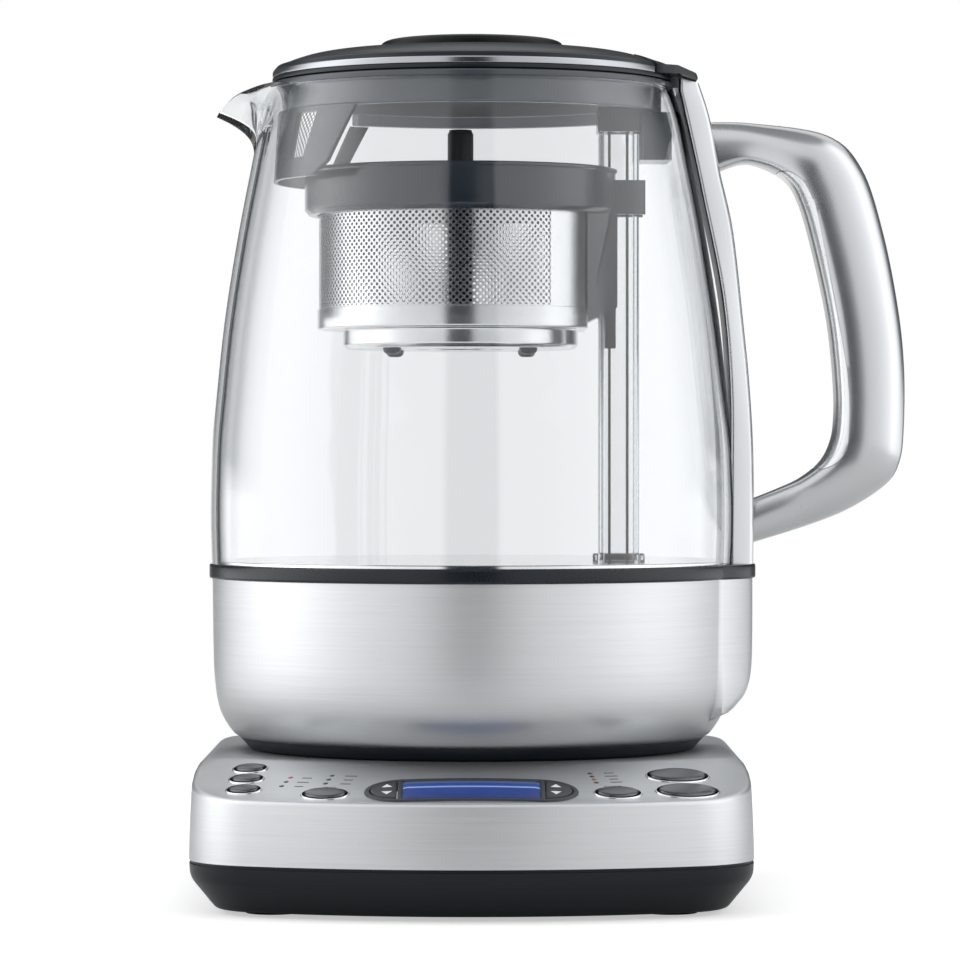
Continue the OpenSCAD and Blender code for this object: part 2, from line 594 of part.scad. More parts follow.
module handle_form() let (outer = spline(handle_outer, handle_steps),
    inner = spline(handle_inner, handle_steps), width = spline([for (w = handle_width) [w]], handle_steps))
  loft([for (i = [0 : len(outer) - 1]) [for (j = [0 : handle_sides - 1])
    let (a = 360 * j / handle_sides, mid = (outer[i] + inner[i]) / 2, half = (outer[i] - inner[i]) / 2,
      p = mid + half * soft_sign(cos(a)))
    [p[0], width[i][0] * soft_sign(sin(a)), p[1]]]]);

spine_outer = spline([[78.6, 230.7], [82.4, 218.7], [86, 200], [90.5, 179.5], [94.1, 147.4],
  [96.2, 126.1], [97.6, 100], [97.5, band_top]], 2);
spine_inner = spline([[90, band_top], [90.2, 94], [90, 126], [87.2, 158], [80.5, 192], [75.2, 216.8],
  [72.5, 228]], 2);
spine_side = concat(spine_outer, spine_inner, [[72.6, 232.4]]);
liner_region = [[106.4, 200.1], [110.2, 199.9], [114.5, 196.8], [117.6, 191.2], [119.8, 184],
  [129.7, 131.3], [130.2, 107.3], [129, 102.6], [125.5, 98.9], [121.5, 97.2], [108, 100], [95, 190]];
handle_screw_at = [[81.5, 210.5], [95.6, 79]];

module screw_bores(r, length) for (p = handle_screw_at)
  translate([p[0], 0, p[1]]) rotate([0, 90, 0]) cylinder(r = r, h = length);

module handle() color("#c8cacc") at_jug() difference() {
  handle_form();
  along_y(30) polygon(spine_side);
  along_y(30) polygon([[60, 60], [96, 60], [96, 100], [80, 195], [80, 232], [60, 232]]);
  along_y(30) polygon(liner_region);
  screw_bores(screw_r + screw_gap, 16);
}
module handle_liner() color("#9ea2a6") at_jug() intersection() {
  handle_form();
  along_y(30) polygon(liner_region);
}

module spine_cover() color("#b4b7ba") at_jug() difference() {
  along_y(spine_half_w) polygon(spine_side);
  intersection() {
    translate([-1.8, 0, 0]) along_y(spine_half_w - 2) polygon(spine_side);
    translate([60, -20, band_top + 2]) cube([50, 40, 160]);
  }
  rotate_extrude($fn = 128) polygon(fill_of(glass_profile, -0.2, 2));
  screw_bores(screw_r + 0.1, 16);
}

module handle_screws() color("gray") at_jug() for (p = handle_screw_at)
  translate([p[0] - 2, 0, p[1]]) rotate([0, 90, 0]) screw(3, 2, 14);

// ---- basket -------------------------------------------------------------------------------
drum_flat = 39.6 - basket_x;       // distance from the basket's middle to its flat side
collar_z = [186.5, 201];
drum_z = [146.2, 189];
bracket_end = 50.2 - basket_x;
groove_gap = 0.5;
module at_basket() at_jug() translate([basket_x, 0, 0]) children();
module flat_side(r, low, high, wall) {
  intersection() {
    translate([drum_flat - wall, -r, low]) cube([wall, 2 * r, high - low]);
    translate([0, 0, low]) cylinder(r = r, h = high - low);
  }
}
module cut_flat() difference() {
  children();
  translate([drum_flat, -60, 100]) cube([60, 120, 140]);
}

pocket_x = 41.7 - basket_x;        // inner face of the pocket that the post passes through
pocket_half_w = post_w / 2 + groove_gap + 1.7;
module post_pocket(grow) translate([pocket_x - grow, -pocket_half_w - grow, 180])
  cube([60, 2 * (pocket_half_w + grow), 30]);
module basket_collar() color("#4d555d") at_basket() difference() {
  union() {
    rotate_extrude() polygon([[49.9, collar_z[0]], [52.6, collar_z[0]], [54.3, 188.2], [54.3, 199.4],
      [54.9, 199.8], [54.9, 200.6], [54.3, 201], [52.3, 201], [52.3, 188.9], [49.9, 188.9]]);
    along_y(26) polygon([[drum_flat, 147.6], [bracket_end, 153], [bracket_end, 188.9],
      [drum_flat, 188.9]]);
    intersection() {
      translate([0, 0, collar_z[0]]) cylinder(r = 53, h = 200.6 - collar_z[0]);
      post_pocket(0);
    }
    translate([46 - basket_x, -11, 185.2]) cube([14, 22, 11.8]);
  }
  // the bracket narrows from the drum's flat side to the post
  for (s = [-1, 1]) translate([drum_flat, s * 24, 100]) rotate(s * -45)
    translate([0, s > 0 ? 0 : -40, 0]) cube([40, 40, 86.4]);
  translate([post_x - basket_x - post_w / 2 - groove_gap, -post_w / 2 - groove_gap, 100])
    cube([40, post_w + 2 * groove_gap, 120]);
  difference() {
    translate([0, 0, 188.9]) cylinder(r = 52.3, h = 20);
    post_pocket(0);
  }
  for (z = magnet_z) translate([40.3 - basket_x, 0, z]) rotate([0, 90, 0]) cylinder(r = 4.1, h = 10);
}

module basket_mesh() color("lightgray") at_basket() {
  cut_flat() difference() {
    union() {
      translate([0, 0, drum_z[0]]) cylinder(r = drum_r, h = drum_z[1] - drum_z[0] + 0.4);
      translate([0, 0, drum_z[1]]) cylinder(r = 52, h = 0.5);
    }
    translate([0, 0, drum_z[0] - 1]) cylinder(r = drum_r - 0.5, h = 60);
  }
  flat_side(drum_r - 0.2, drum_z[0], drum_z[1], 0.5);
}

module basket_base() color("silver") at_basket() {
  difference() {
    union() {
      cut_flat() rotate_extrude() polygon([[7, 138.7], [39.5, 138.7], [40.9, 140], [40.9, 145.4],
        [49.9, 145.4], [49.9, 152.6], [49.35, 152.6], [49.35, 146.2], [40.1, 146.2], [40.1, 140.2],
        [39.2, 139.5], [7, 139.5]]);
      flat_side(49.8, 145.4, 146.2, 30);
    }
    for (i = [0 : 5]) rotate(i * 60) translate([13, 0, 130]) cylinder(r = 2.6, h = 20, $fn = 12);
    translate([0, 0, 130]) cylinder(r = 38, h = 40);
  }
  difference() {
    translate([0, 0, 138.7]) cylinder(r = 38.5, h = 0.8);
    translate([0, 0, 138]) cylinder(r = 7, h = 3);
    for (i = [0 : 5]) rotate(i * 60) translate([13, 0, 137]) cylinder(r = 2.6, h = 5, $fn = 12);
  }
  ring_at([0, 0], 4, 33, 45) translate([0, 0, 136.5]) cylinder(r = 3.2, h = 2.3);
}

magnet_z = [160, 174];
module basket_magnets() color("dimgray") at_jug() for (z = magnet_z)
  translate([40.3, 0, z]) rotate([0, 90, 0]) cylinder(r = 4, h = 3);

module basket_lid() color("#17191b") at_basket() {
  difference() {
    translate([0, 0, drum_z[1] + 0.55]) cylinder(r = 51.9, h = 1.6);
    post_pocket(0.4);
  }
  translate([0, 0, 153]) cylinder(r = 4.5, h = 61);
  translate([0, 0, 214]) cylinder(r = 4, h = 1);
}

// ---- lid ----------------------------------------------------------------------------------
lid_z = glass_top + 2.2;
rim_z = lid_z + 2;
dome_profile = spline([[66, rim_z + 4.4], [61.8, rim_z + 6], [56, rim_z + 7.6], [48, rim_z + 8.6],
  [32, rim_z + 9.1], [0, rim_z + 9.2]], 2);
dome_wall = 1.2;
tab_plan = [[56, -22], [62.6, -30.2], [70, -24], [78.5, -13.5], [78.5, 13.5], [70, 24],
  [62.6, 30.2], [56, 22]];
tab_side = [[54, rim_z + 8], [58.6, rim_z + 6.8], [77.8, rim_z + 0.9], [78.5, rim_z - 1.8],
  [71.2, rim_z + 0.3], [69.8, rim_z], [54, rim_z]];
module lid_base() color("#1b1e21") at_jug() rotate_extrude() polygon([[0, lid_z], [57, lid_z],
  [57, 223.5], [61.2, 223.5], [61.2, lid_z], [66, lid_z], [66, lid_z + 0.5], [69.5, lid_z + 0.5],
  [69.5, rim_z - 0.6], [68.9, rim_z], [0, rim_z]]);

module lid_seal() color("#303438") at_jug() rotate_extrude() polygon([[61.25, 225], [62.1, 225.4],
  [62.1, 226.6], [61.25, 227]]);

module lid_trim() color("whitesmoke") at_jug() difference() {
  rotate_extrude() polygon([[66.05, rim_z], [69.4, rim_z], [69.4, rim_z + 1.8], [69.1, rim_z + 2.4],
    [67.8, rim_z + 3.7], [66.05, rim_z + 4.4]]);
  translate([0, 0, rim_z - 1]) linear_extrude(10) polygon(tab_plan);
}

module lid_dome() color("#5a6067") at_jug() difference() {
  rotate_extrude() polygon(concat([[66, rim_z]], dome_profile,
    [for (p = reversed(dome_profile)) [p[0] > 60 ? p[0] - dome_wall : p[0], p[1] - dome_wall]],
    [[66 - dome_wall, rim_z]]));
  translate([0, 0, rim_z - 1]) cylinder(r = 4.1, h = 20);
}

knob_r = 31.7;
module lid_knob() color("#141516") at_jug() rotate_extrude() polygon([[0, rim_z], [4, rim_z],
  [4, rim_z + 9.35], [31, rim_z + 9.2], [knob_r, rim_z + 9.7], [knob_r, rim_z + 11.6],
  [30.4, rim_z + 13.1], [0, rim_z + 13.5]]);

module lid_tab() color("#1b1e21") at_jug() difference() {
  intersection() {
    translate([0, 0, 200]) linear_extrude(60) polygon(tab_plan);
    along_y(40) polygon(tab_side);
    rotate_extrude() polygon([[50, rim_z - 5], [85, rim_z - 5], [85, rim_z + 3], [69.8, rim_z + 3],
      [68.2, rim_z + 4.2], [66, rim_z + 4.9], [61.8, rim_z + 6.4], [56, rim_z + 8], [50, rim_z + 8.9]]);
  }
  rotate_extrude() polygon(concat([[0, rim_z - 5], [66.05, rim_z - 5]], dome_profile));
}

base_shell();
bottom_tray();
rubber_feet();
tray_screws();
seat_insert();
base_connector();
connector_contacts();
panel_bezel();
display_lens();
display_module();
main_board();
key_boards();
tact_switches();
indicator_leds();
button_rims();
power_relay();
cord_gland();
connector_shroud();
auto_start_button();
keep_warm_button();
clock_button();
tea_type_button();
strength_button();
hot_water_button();
tea_button();
temperature_rocker();
time_rocker();
jug_glass();
steel_body();
seal_band();
jug_underside();
jug_coupler();
coupler_contacts();
heater_plate();
heating_element();
temperature_sensor();
lift_motor();
underside_screws();
spine_cover();
handle();
handle_liner();
handle_screws();
top_collar();
spout_filter();
guide_post();
drive_belt();
drive_pulley();
idler_pulley();
magnet_carriage();
basket_collar();
basket_mesh();
basket_base();
basket_magnets();
basket_lid();
lid_base();
lid_trim();
lid_dome();
lid_knob();
lid_tab();
lid_seal();
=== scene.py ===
"""Automatic tea maker: the looks of the glass jug, its lifting basket, lid and handle, and the powered base."""

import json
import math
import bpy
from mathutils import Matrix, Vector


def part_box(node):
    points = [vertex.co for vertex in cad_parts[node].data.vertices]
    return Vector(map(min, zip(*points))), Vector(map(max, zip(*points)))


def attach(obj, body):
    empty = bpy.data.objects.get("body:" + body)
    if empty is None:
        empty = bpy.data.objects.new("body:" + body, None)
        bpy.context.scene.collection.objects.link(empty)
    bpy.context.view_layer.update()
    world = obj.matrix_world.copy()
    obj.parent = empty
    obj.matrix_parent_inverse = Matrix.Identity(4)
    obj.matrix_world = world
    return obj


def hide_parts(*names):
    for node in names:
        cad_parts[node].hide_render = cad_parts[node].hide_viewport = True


bl_info = {
    "name": "Automatic Tea Maker",
    "version": (1, 0, 0),
    "blender": (4, 5, 0),
    "location": "View3D > Sidebar > Tea Maker",
    "description": "Builds an automatic tea maker's visible pieces round its packed frame",
    "category": "Add Mesh",
}

import bmesh
import bpy
from mathutils import Matrix, Vector

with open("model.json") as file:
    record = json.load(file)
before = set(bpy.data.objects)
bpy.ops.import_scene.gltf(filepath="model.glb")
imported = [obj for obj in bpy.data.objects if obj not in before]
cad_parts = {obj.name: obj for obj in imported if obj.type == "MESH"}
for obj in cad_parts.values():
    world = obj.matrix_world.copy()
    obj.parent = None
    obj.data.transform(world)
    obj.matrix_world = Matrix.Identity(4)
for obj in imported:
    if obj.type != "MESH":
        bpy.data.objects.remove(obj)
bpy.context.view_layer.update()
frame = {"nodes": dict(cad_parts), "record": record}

MM = 0.001
SHROUD_LOW, SHROUD_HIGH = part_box("connector_shroud")
AXIS_X = (SHROUD_LOW.x + SHROUD_HIGH.x) / 2
AXIS_Y = (SHROUD_LOW.y + SHROUD_HIGH.y) / 2
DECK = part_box("seat_insert")[1].z
JUG = Vector((AXIS_X, AXIS_Y, DECK))      # the jug's axis, on the deck
BASE = Vector((AXIS_X, AXIS_Y, 0))        # the same axis, on the table
TURN = 144                                # flats round a turned piece
SHARP = 38                                # degrees between two faces from which their edge stays sharp
ALL_ROUND = 360


# ---- node expressions ---------------------------------------------------------------------
class Value:
    """A node socket that Python's operators turn into Math nodes."""

    def __init__(self, graph, socket):
        self.graph = graph
        self.socket = socket

    def math(self, operation, *others):
        sockets = dict(enumerate((self, *others)))
        return self.graph.value("ShaderNodeMath", {"operation": operation}, sockets)

    def __rsub__(self, other):
        return self.graph.value("ShaderNodeMath", {"operation": "SUBTRACT"}, {0: other, 1: self})

    def __neg__(self):
        return self.math("MULTIPLY", -1)

    def ease(self, low, high):
        """0 below low, 1 above high and smooth between them."""
        settings = {"interpolation_type": "SMOOTHSTEP"}
        return self.graph.value("ShaderNodeMapRange", settings, {0: self, 1: low, 2: high})


MATH = {"__add__": "ADD", "__radd__": "ADD", "__sub__": "SUBTRACT", "__mul__": "MULTIPLY", "__rmul__": "MULTIPLY",
        "__truediv__": "DIVIDE", "__mod__": "FLOORED_MODULO", "__abs__": "ABSOLUTE", "__gt__": "GREATER_THAN",
        "__lt__": "LESS_THAN", "floor": "FLOOR", "sine": "SINE", "cosine": "COSINE", "largest": "MAXIMUM"}
for method, kind in MATH.items():
    setattr(Value, method, lambda self, *others, kind=kind: self.math(kind, *others))


class Graph:
    """A node tree that is filled by calls."""

    def __init__(self, tree):
        self.tree = tree

    def add(self, kind, settings=None, sockets=None):
        """A new node: its settings come first, then the values or links of its sockets."""
        node = self.tree.nodes.new(kind)
        for key, setting in (settings or {}).items():
            if key == "stops":
                self.set_stops(node.color_ramp, setting)
            else:
                setattr(node, key, setting)
        for key, content in (sockets or {}).items():
            self.plug(self.socket(node.inputs, key), content)
        return node

    @staticmethod
    def set_stops(ramp, stops):
        while len(ramp.elements) < len(stops):
            ramp.elements.new(1)
        for element, (place, level) in zip(ramp.elements, stops):
            element.position = place
            element.color = (level, level, level, 1)

    @staticmethod
    def socket(sockets, key):
        if isinstance(key, int):
            return sockets[key]
        same = [s for s in sockets if s.identifier == key] or [s for s in sockets if s.name == key]
        return same[0]

    def plug(self, socket, content):
        if isinstance(content, Value):
            self.tree.links.new(content.socket, socket)
        elif isinstance(content, bpy.types.NodeSocket):
            self.tree.links.new(content, socket)
        elif socket.type == "RGBA":
            socket.default_value = (*content, 1)
        else:
            socket.default_value = content

    def value(self, kind, settings=None, sockets=None, output=0):
        node = self.add(kind, settings, sockets)
        return Value(self, self.socket(node.outputs, output))

    def axes(self, vector):
        node = self.add("ShaderNodeSeparateXYZ", None, {0: vector})
        return [Value(self, output) for output in node.outputs]

    def vector(self, x, y, z):
        return self.value("ShaderNodeCombineXYZ", None, {0: x, 1: y, 2: z})

    def noise(self, x, y, z, detail=2.0):
        """Soft noise of about one bump for each unit of x, y and z."""
        place = self.vector(x, y, z)
        return self.value("ShaderNodeTexNoise", None, {"Vector": place, "Scale": 1.0, "Detail": detail})

    def blend(self, factor, first, second):
        """The colour first where factor is 0, and second where it is 1."""
        sockets = {"Factor_Float": factor, "A_Color": first, "B_Color": second}
        return self.value("ShaderNodeMix", {"data_type": "RGBA"}, sockets, "Result_Color")


class Finish(Graph):
    """One material. Its constant sockets are set by name, and what varies is linked."""

    def __init__(self, name, **sockets):
        self.material = bpy.data.materials.new(name)
        self.material.use_nodes = True
        super().__init__(self.material.node_tree)
        self.tree.nodes.clear()
        self.shader = self.add("ShaderNodeBsdfPrincipled")
        self.out = self.add("ShaderNodeOutputMaterial", None, {"Surface": self.shader.outputs[0]})
        self.set(**sockets)
        self.place = self.axes(self.value("ShaderNodeTexCoord", None, None, "Object"))

    def set(self, **sockets):
        for key, content in sockets.items():
            self.plug(self.socket(self.shader.inputs, key.replace("_", " ")), content)

    def from_axis(self):
        """Metres from the jug's axis, and the height."""
        x, y, z = self.place
        return x - AXIS_X, y - AXIS_Y, z

    def bump(self, height, strength, distance):
        sockets = {"Height": height, "Strength": strength, "Distance": distance}
        self.set(Normal=self.value("ShaderNodeBump", None, sockets))

    def cloud(self, scale, detail=3.0):
        """Noise of about so many bumps per metre."""
        return self.noise(*(axis * scale for axis in self.place), detail)

    def grain(self, size, roughness, spread, strength):
        """Fine moulded grain: size in metres, and how far the roughness wanders."""
        fine = self.noise(*(axis / size for axis in self.place))
        wide = self.cloud(25.0)
        self.set(Roughness=roughness + (wide - 0.5) * spread + (fine - 0.5) * spread * 0.5)
        self.bump(fine, strength, 0.00005)


# ---- finishes -----------------------------------------------------------------------------
def shade(colour, factor):
    return tuple(channel * factor for channel in colour)


LONG_STROKE = 12.0        # brush strokes per metre along the brushing
WIDE_STROKE = 1100.0      # wide brush strokes per metre across it
FINE_STROKE = 3600.0      # fine ones


def brushed_steel(colour, on_deck=False):
    """Horizontally brushed steel. On the base's deck the strokes run from left to right. Elsewhere the colour is
    painted darker towards the foot: painted shade.
    """
    f = Finish("brushed_steel_base" if on_deck else "brushed_steel", Base_Color=colour, Metallic=1.0)
    x, y, z = f.from_axis()
    coarse = f.noise(x * LONG_STROKE, y * LONG_STROKE, z * WIDE_STROKE, 3.0)
    fine = f.noise(x * LONG_STROKE * 3, y * LONG_STROKE * 3, z * FINE_STROKE)
    if on_deck:
        normal = f.axes(f.value("ShaderNodeNewGeometry", None, None, "Normal"))
        flat = normal[2].ease(0.5, 0.8)
        deck_coarse = f.noise(x * LONG_STROKE, y * WIDE_STROKE, z * LONG_STROKE, 3.0)
        deck_fine = f.noise(x * LONG_STROKE * 3, y * FINE_STROKE, z * LONG_STROKE)
        coarse = coarse + (deck_coarse - coarse) * flat
        fine = fine + (deck_fine - fine) * flat
    streaks_and_foot_shade = f.blend(coarse * 0.5 + fine * 0.5, shade(colour, 0.86), shade(colour, 1.12))
    if not on_deck:
        # Painted shade and reflection: the colour darkens to half over the lowest 26 mm above the deck.
        streaks_and_foot_shade = f.blend((z - DECK).ease(0.0, 0.026), shade(colour, 0.5), streaks_and_foot_shade)
    f.set(Base_Color=streaks_and_foot_shade, Roughness=0.36 + coarse * 0.06 + fine * 0.05)
    f.bump(fine + coarse * 0.5, 0.1, 0.00002)
    return f.material


def polished_steel(colour, name, roughness):
    f = Finish(name, Base_Color=colour, Metallic=1.0)
    smear = f.cloud(60.0)
    f.set(Roughness=roughness + smear * 0.06,
          Base_Color=f.blend(smear, shade(colour, 0.96), shade(colour, 1.03)))
    return f.material


def cast_metal(colour):
    """The handle's satin cast metal, lightly polished."""
    f = Finish("cast_metal", Base_Color=colour, Metallic=1.0)
    cloud = f.cloud(30.0)
    fine = f.cloud(1800.0, 2.0)
    f.set(Roughness=0.19 + cloud * 0.1 + fine * 0.04,
          Base_Color=f.blend(cloud, shade(colour, 0.94), shade(colour, 1.04)))
    f.bump(fine, 0.06, 0.00003)
    return f.material


def moulded(name, colour, roughness, spread=0.08, relief=0.05, coat=0.0, gloss=0.5):
    """Moulded plastic: relief is how strong its fine grain stands out, gloss how much it mirrors."""
    f = Finish(name, Base_Color=colour, Coat_Weight=coat, Coat_Roughness=0.08, Specular_IOR_Level=gloss)
    f.set(Base_Color=f.blend(f.cloud(40.0), shade(colour, 0.88), shade(colour, 1.12)))
    f.grain(0.0006, roughness, spread, relief)
    return f.material


def clear(name, tint, density):
    """Clear glass or plastic. Lamp rays pass straight through, so what is inside stays lit."""
    f = Finish(name, Base_Color=(1.0, 1.0, 1.0), Roughness=0.0, IOR=1.47, Transmission_Weight=1.0)
    path = f.add("ShaderNodeLightPath")
    rays = Value(f, path.outputs["Is Shadow Ray"]).largest(Value(f, path.outputs["Is Diffuse Ray"]))
    passing = f.add("ShaderNodeBsdfTransparent", None, {0: (0.97, 0.98, 0.985)})
    mixed = f.add("ShaderNodeMixShader", None, {0: rays, 1: f.shader.outputs[0], 2: passing.outputs[0]})
    f.plug(f.out.inputs["Surface"], mixed.outputs[0])
    dim = f.add("ShaderNodeVolumeAbsorption", None, {"Color": tint, "Density": density})
    f.plug(f.out.inputs["Volume"], dim.outputs[0])
    return f.material


def display_glass(colour, painted_reflection_colour, middle, half_height):
    """The lit blue window: paler towards its top, with a painted reflection there, a thin light streak, and darker
    along its top edge.
    """
    f = Finish("display_blue", Roughness=0.2, Coat_Weight=0.15, Coat_Roughness=0.03, Specular_IOR_Level=0.2)
    across = (f.place[1] - middle.y) / half_height
    x, y, z = (axis * 90.0 for axis in f.place)
    cloud = f.noise(x, y * 3.0, z)
    lit = f.blend(across.ease(-1.0, 1.0), shade(colour, 0.75), shade(colour, 1.5))
    lit = f.blend(cloud * 0.35, lit, shade(colour, 0.6))
    # Painted reflection: a thin light streak across the upper part of the window.
    painted_reflection = (across - 0.12).ease(0.0, 0.08) * (1 - (across - 0.26).ease(0.0, 0.06))
    lit = f.blend(painted_reflection * 0.75, lit, painted_reflection_colour)
    edge = across.ease(0.6, 0.75)
    lit = f.blend(edge * 0.7, lit, (0.12, 0.15, 0.22))
    f.set(Base_Color=lit, Emission_Color=lit, Emission_Strength=0.08)
    return f.material


def dark_dome(colour):
    f = Finish("dome_steel", Base_Color=colour, Metallic=0.35, Specular_IOR_Level=0.25)
    cloud = f.cloud(35.0)
    f.set(Roughness=0.26 + cloud * 0.06, Base_Color=f.blend(cloud, shade(colour, 0.9), shade(colour, 1.1)))
    return f.material


# ---- mesh tools ---------------------------------------------------------------------------
def mix(a, b, t):
    return a + (b - a) * t


def smooth_step(t):
    t = min(max(t, 0.0), 1.0)
    return t * t * (3 - 2 * t)


def spline(knots, steps):
    """A smooth curve through the knots, with so many steps from knot to knot."""
    at = [Vector(k) for k in knots]
    curve = []
    for i in range(len(at) - 1):
        a, b, c, d = at[max(i - 1, 0)], at[i], at[i + 1], at[min(i + 2, len(at) - 1)]
        for j in range(steps):
            t = j / steps
            curve.append(b + 0.5 * t * ((c - a) + t * ((2 * a - 5 * b + 4 * c - d) + t * (3 * b - a - 3 * c + d))))
    return curve + [at[-1]]


def along(curve, z, out=0, up=1):
    """Value number out of a curve where its value number up is z."""
    for a, b in zip(curve, curve[1:]):
        if min(a[up], b[up]) <= z <= max(a[up], b[up]) and a[up] != b[up]:
            return mix(a[out], b[out], (z - a[up]) / (b[up] - a[up]))
    nearest = curve[0] if abs(curve[0][up] - z) < abs(curve[-1][up] - z) else curve[-1]
    return nearest[out]


def rounded(corners, steps=4):
    """An outline whose corners (x, y, radius) become arcs. Corners without a radius stay sharp."""
    outline = []
    for i, corner in enumerate(corners):
        b = Vector(corner[:2])
        if len(corner) < 3:
            outline.append(b)
            continue
        a = Vector(corners[i - 1][:2])
        c = Vector(corners[(i + 1) % len(corners)][:2])
        u, v = (a - b).normalized(), (c - b).normalized()
        half = u.angle(v) / 2
        reach = min(corner[2] / math.tan(half), (a - b).length * 0.49, (c - b).length * 0.49)
        centre = b + (u + v).normalized() * reach / math.cos(half)
        start, end = b + u * reach - centre, b + v * reach - centre
        turn = start.angle(end)
        for k in range(steps + 1):
            t = k / steps
            outline.append(centre + (start * math.sin((1 - t) * turn) + end * math.sin(t * turn)) / math.sin(turn))
    return outline


class Form:
    """Points in millimetres and faces, gathered part by part. Each part may have its own finish."""

    def __init__(self):
        self.points = []
        self.faces = []
        self.finish_of = []

    def add(self, points, faces, finish=0):
        start = len(self.points)
        self.points += [tuple(p) for p in points]
        self.faces += [tuple(start + i for i in face) for face in faces]
        self.finish_of += [finish] * len(faces)
        return self

    def skin(self, rings, finish=0, closed=True, caps=True):
        """A skin over rings of equally many points. Rings are closed loops."""
        n = len(rings[0])
        points = [p for ring in rings for p in ring]
        faces = []
        for i in range(len(rings) - 1 if not closed else len(rings)):
            here, there = i * n, (i + 1) % len(rings) * n
            faces += [(here + j, here + (j + 1) % n, there + (j + 1) % n, there + j) for j in range(n)]
        if caps and not closed:
            faces += [tuple(reversed(range(n))), tuple(range(len(points) - n, len(points)))]
        return self.add(points, faces, finish)

    def turned(self, outline, centre=(0, 0), flats=TURN):
        """A solid of revolution from a closed outline of (radius, height)."""
        points, rings = [], []
        for r, z in outline:
            if r < 1e-6:
                rings.append([len(points)] * flats)
                points.append((centre[0], centre[1], z))
                continue
            rings.append([len(points) + j for j in range(flats)])
            for j in range(flats):
                a = 2 * math.pi * j / flats
                points.append((centre[0] + r * math.cos(a), centre[1] + r * math.sin(a), z))
        faces = []
        for i, here in enumerate(rings):
            there = rings[(i + 1) % len(rings)]
            if here[0] == here[1] and there[0] == there[1]:
                continue
            for j in range(flats):
                k = (j + 1) % flats
                corners = (here[j], here[k], there[k], there[j])
                faces.append(tuple(dict.fromkeys(corners)))
        return self.add(points, faces)

    def prism(self, outline, low, high, along_axis="z"):
        """An outline pushed out from low to high along an axis."""
        def stand(p, h):
            return {"z": (p[0], p[1], h), "y": (p[0], h, p[1]), "x": (h, p[0], p[1])}[along_axis]
        return self.skin([[stand(p, h) for p in outline] for h in (low, high)], closed=False)


def link(name, mesh):
    piece = bpy.data.objects.new(name, mesh)
    bpy.context.scene.collection.objects.link(piece)
    return piece


def build(name, form, origin, *slots, sharp=SHARP):
    """An object from a form with the slots' finishes, welded and with its faces turned outwards."""
    mesh = bpy.data.meshes.new(name)
    mesh.from_pydata([origin + Vector(p) * MM for p in form.points], [], form.faces)
    for slot in slots:
        mesh.materials.append(finish(slot))
    mesh.polygons.foreach_set("material_index", form.finish_of)
    work = bmesh.new()
    work.from_mesh(mesh)
    bmesh.ops.remove_doubles(work, verts=work.verts, dist=2e-6)
    bmesh.ops.dissolve_degenerate(work, edges=work.edges, dist=1e-6)
    bmesh.ops.recalc_face_normals(work, faces=work.faces)
    work.to_mesh(mesh)
    work.free()
    soften(mesh, sharp)
    return link(name, mesh)


def soften(mesh, sharp):
    mesh.shade_smooth()
    mesh.set_sharp_from_angle(angle=math.radians(sharp))


def settle(piece, sharp=SHARP):
    """Turns the piece with its modifiers into a plain mesh."""
    graph = bpy.context.evaluated_depsgraph_get()
    mesh = bpy.data.meshes.new_from_object(piece.evaluated_get(graph), depsgraph=graph)
    piece.modifiers.clear()
    piece.data = mesh
    soften(mesh, sharp)
    return piece


def carve(piece, origin, forms, operation="DIFFERENCE", sharp=SHARP):
    """Cuts the forms off the piece, or joins or intersects it with them. New faces take its first finish."""
    tools = [build("tool", form, origin) for form in forms]
    for tool in tools:
        step = piece.modifiers.new("carve", "BOOLEAN")
        step.operation = operation
        step.solver = "EXACT"
        step.object = tool
    settle(piece, sharp)
    for tool in tools:
        bpy.data.objects.remove(tool)
    return piece


def ease_edges(piece, width, steps=3, angle=30):
    """Rounds every edge sharper than the angle. Width in millimetres."""
    step = piece.modifiers.new("ease", "BEVEL")
    step.width = width * MM
    step.segments = steps
    step.limit_method = "ANGLE"
    step.angle_limit = math.radians(angle)
    step.use_clamp_overlap = True
    return settle(piece)


def repaint(piece, slot, chosen):
    """Gives a second finish to faces chosen by (radius, height above the deck) of their middle, and normal."""
    piece.data.materials.append(finish(slot))
    for face in piece.data.polygons:
        middle = face.center - JUG
        if chosen(middle.xy.length / MM, middle.z / MM, face.normal):
            face.material_index = len(piece.data.materials) - 1


def fit(piece, body, slot, *nodes):
    """The piece rides on its body and stands for the CAD nodes, which are hidden. The slot is not used."""
    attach(piece, body)
    if nodes:
        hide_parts(*nodes)
    return piece


def make(name, form, origin, body, slot, *nodes, sharp=SHARP):
    """Builds and fits a piece whose finish is the one of its record slot."""
    return fit(build(name, form, origin, slot, sharp=sharp), body, slot, *nodes)


def oblong(x0, x1, half):
    return [(x0, -half), (x1, -half), (x1, half), (x0, half)]


def rod(r, low, high):
    """The outline of a round rod, to be turned."""
    return [(0, low), (r, low), (r, high), (0, high)]


def polar(r, degrees):
    a = math.radians(degrees)
    return r * math.cos(a), r * math.sin(a)


# ---- properties ---------------------------------------------------------------------------
def length(title, about, default_mm):
    return bpy.props.FloatProperty(name=title, description=about, default=default_mm * MM, unit="LENGTH")


def colour(title, about, default):
    return bpy.props.FloatVectorProperty(name=title, description=about, default=default, subtype="COLOR",
                                         min=0.0, max=1.0)


class TeaMakerSizes(bpy.types.PropertyGroup):
    hole_pitch: length("Hole pitch", "Distance between holes in one row of the basket's wall", 2.3)
    hole_width: length("Hole width", "Width of a hole in the basket's wall", 1.15)
    filter_pitch: length("Filter pitch", "Distance between holes in one row of the spout filter", 1.9)
    glass_wall: length("Glass wall", "Thickness of the jug's glass", 3.0)
    edge_round: length("Edge rounding", "Radius of small moulded edges", 0.5)
    spine_round: length("Spine rounding", "Radius of the metal spine's long edges", 2.6)


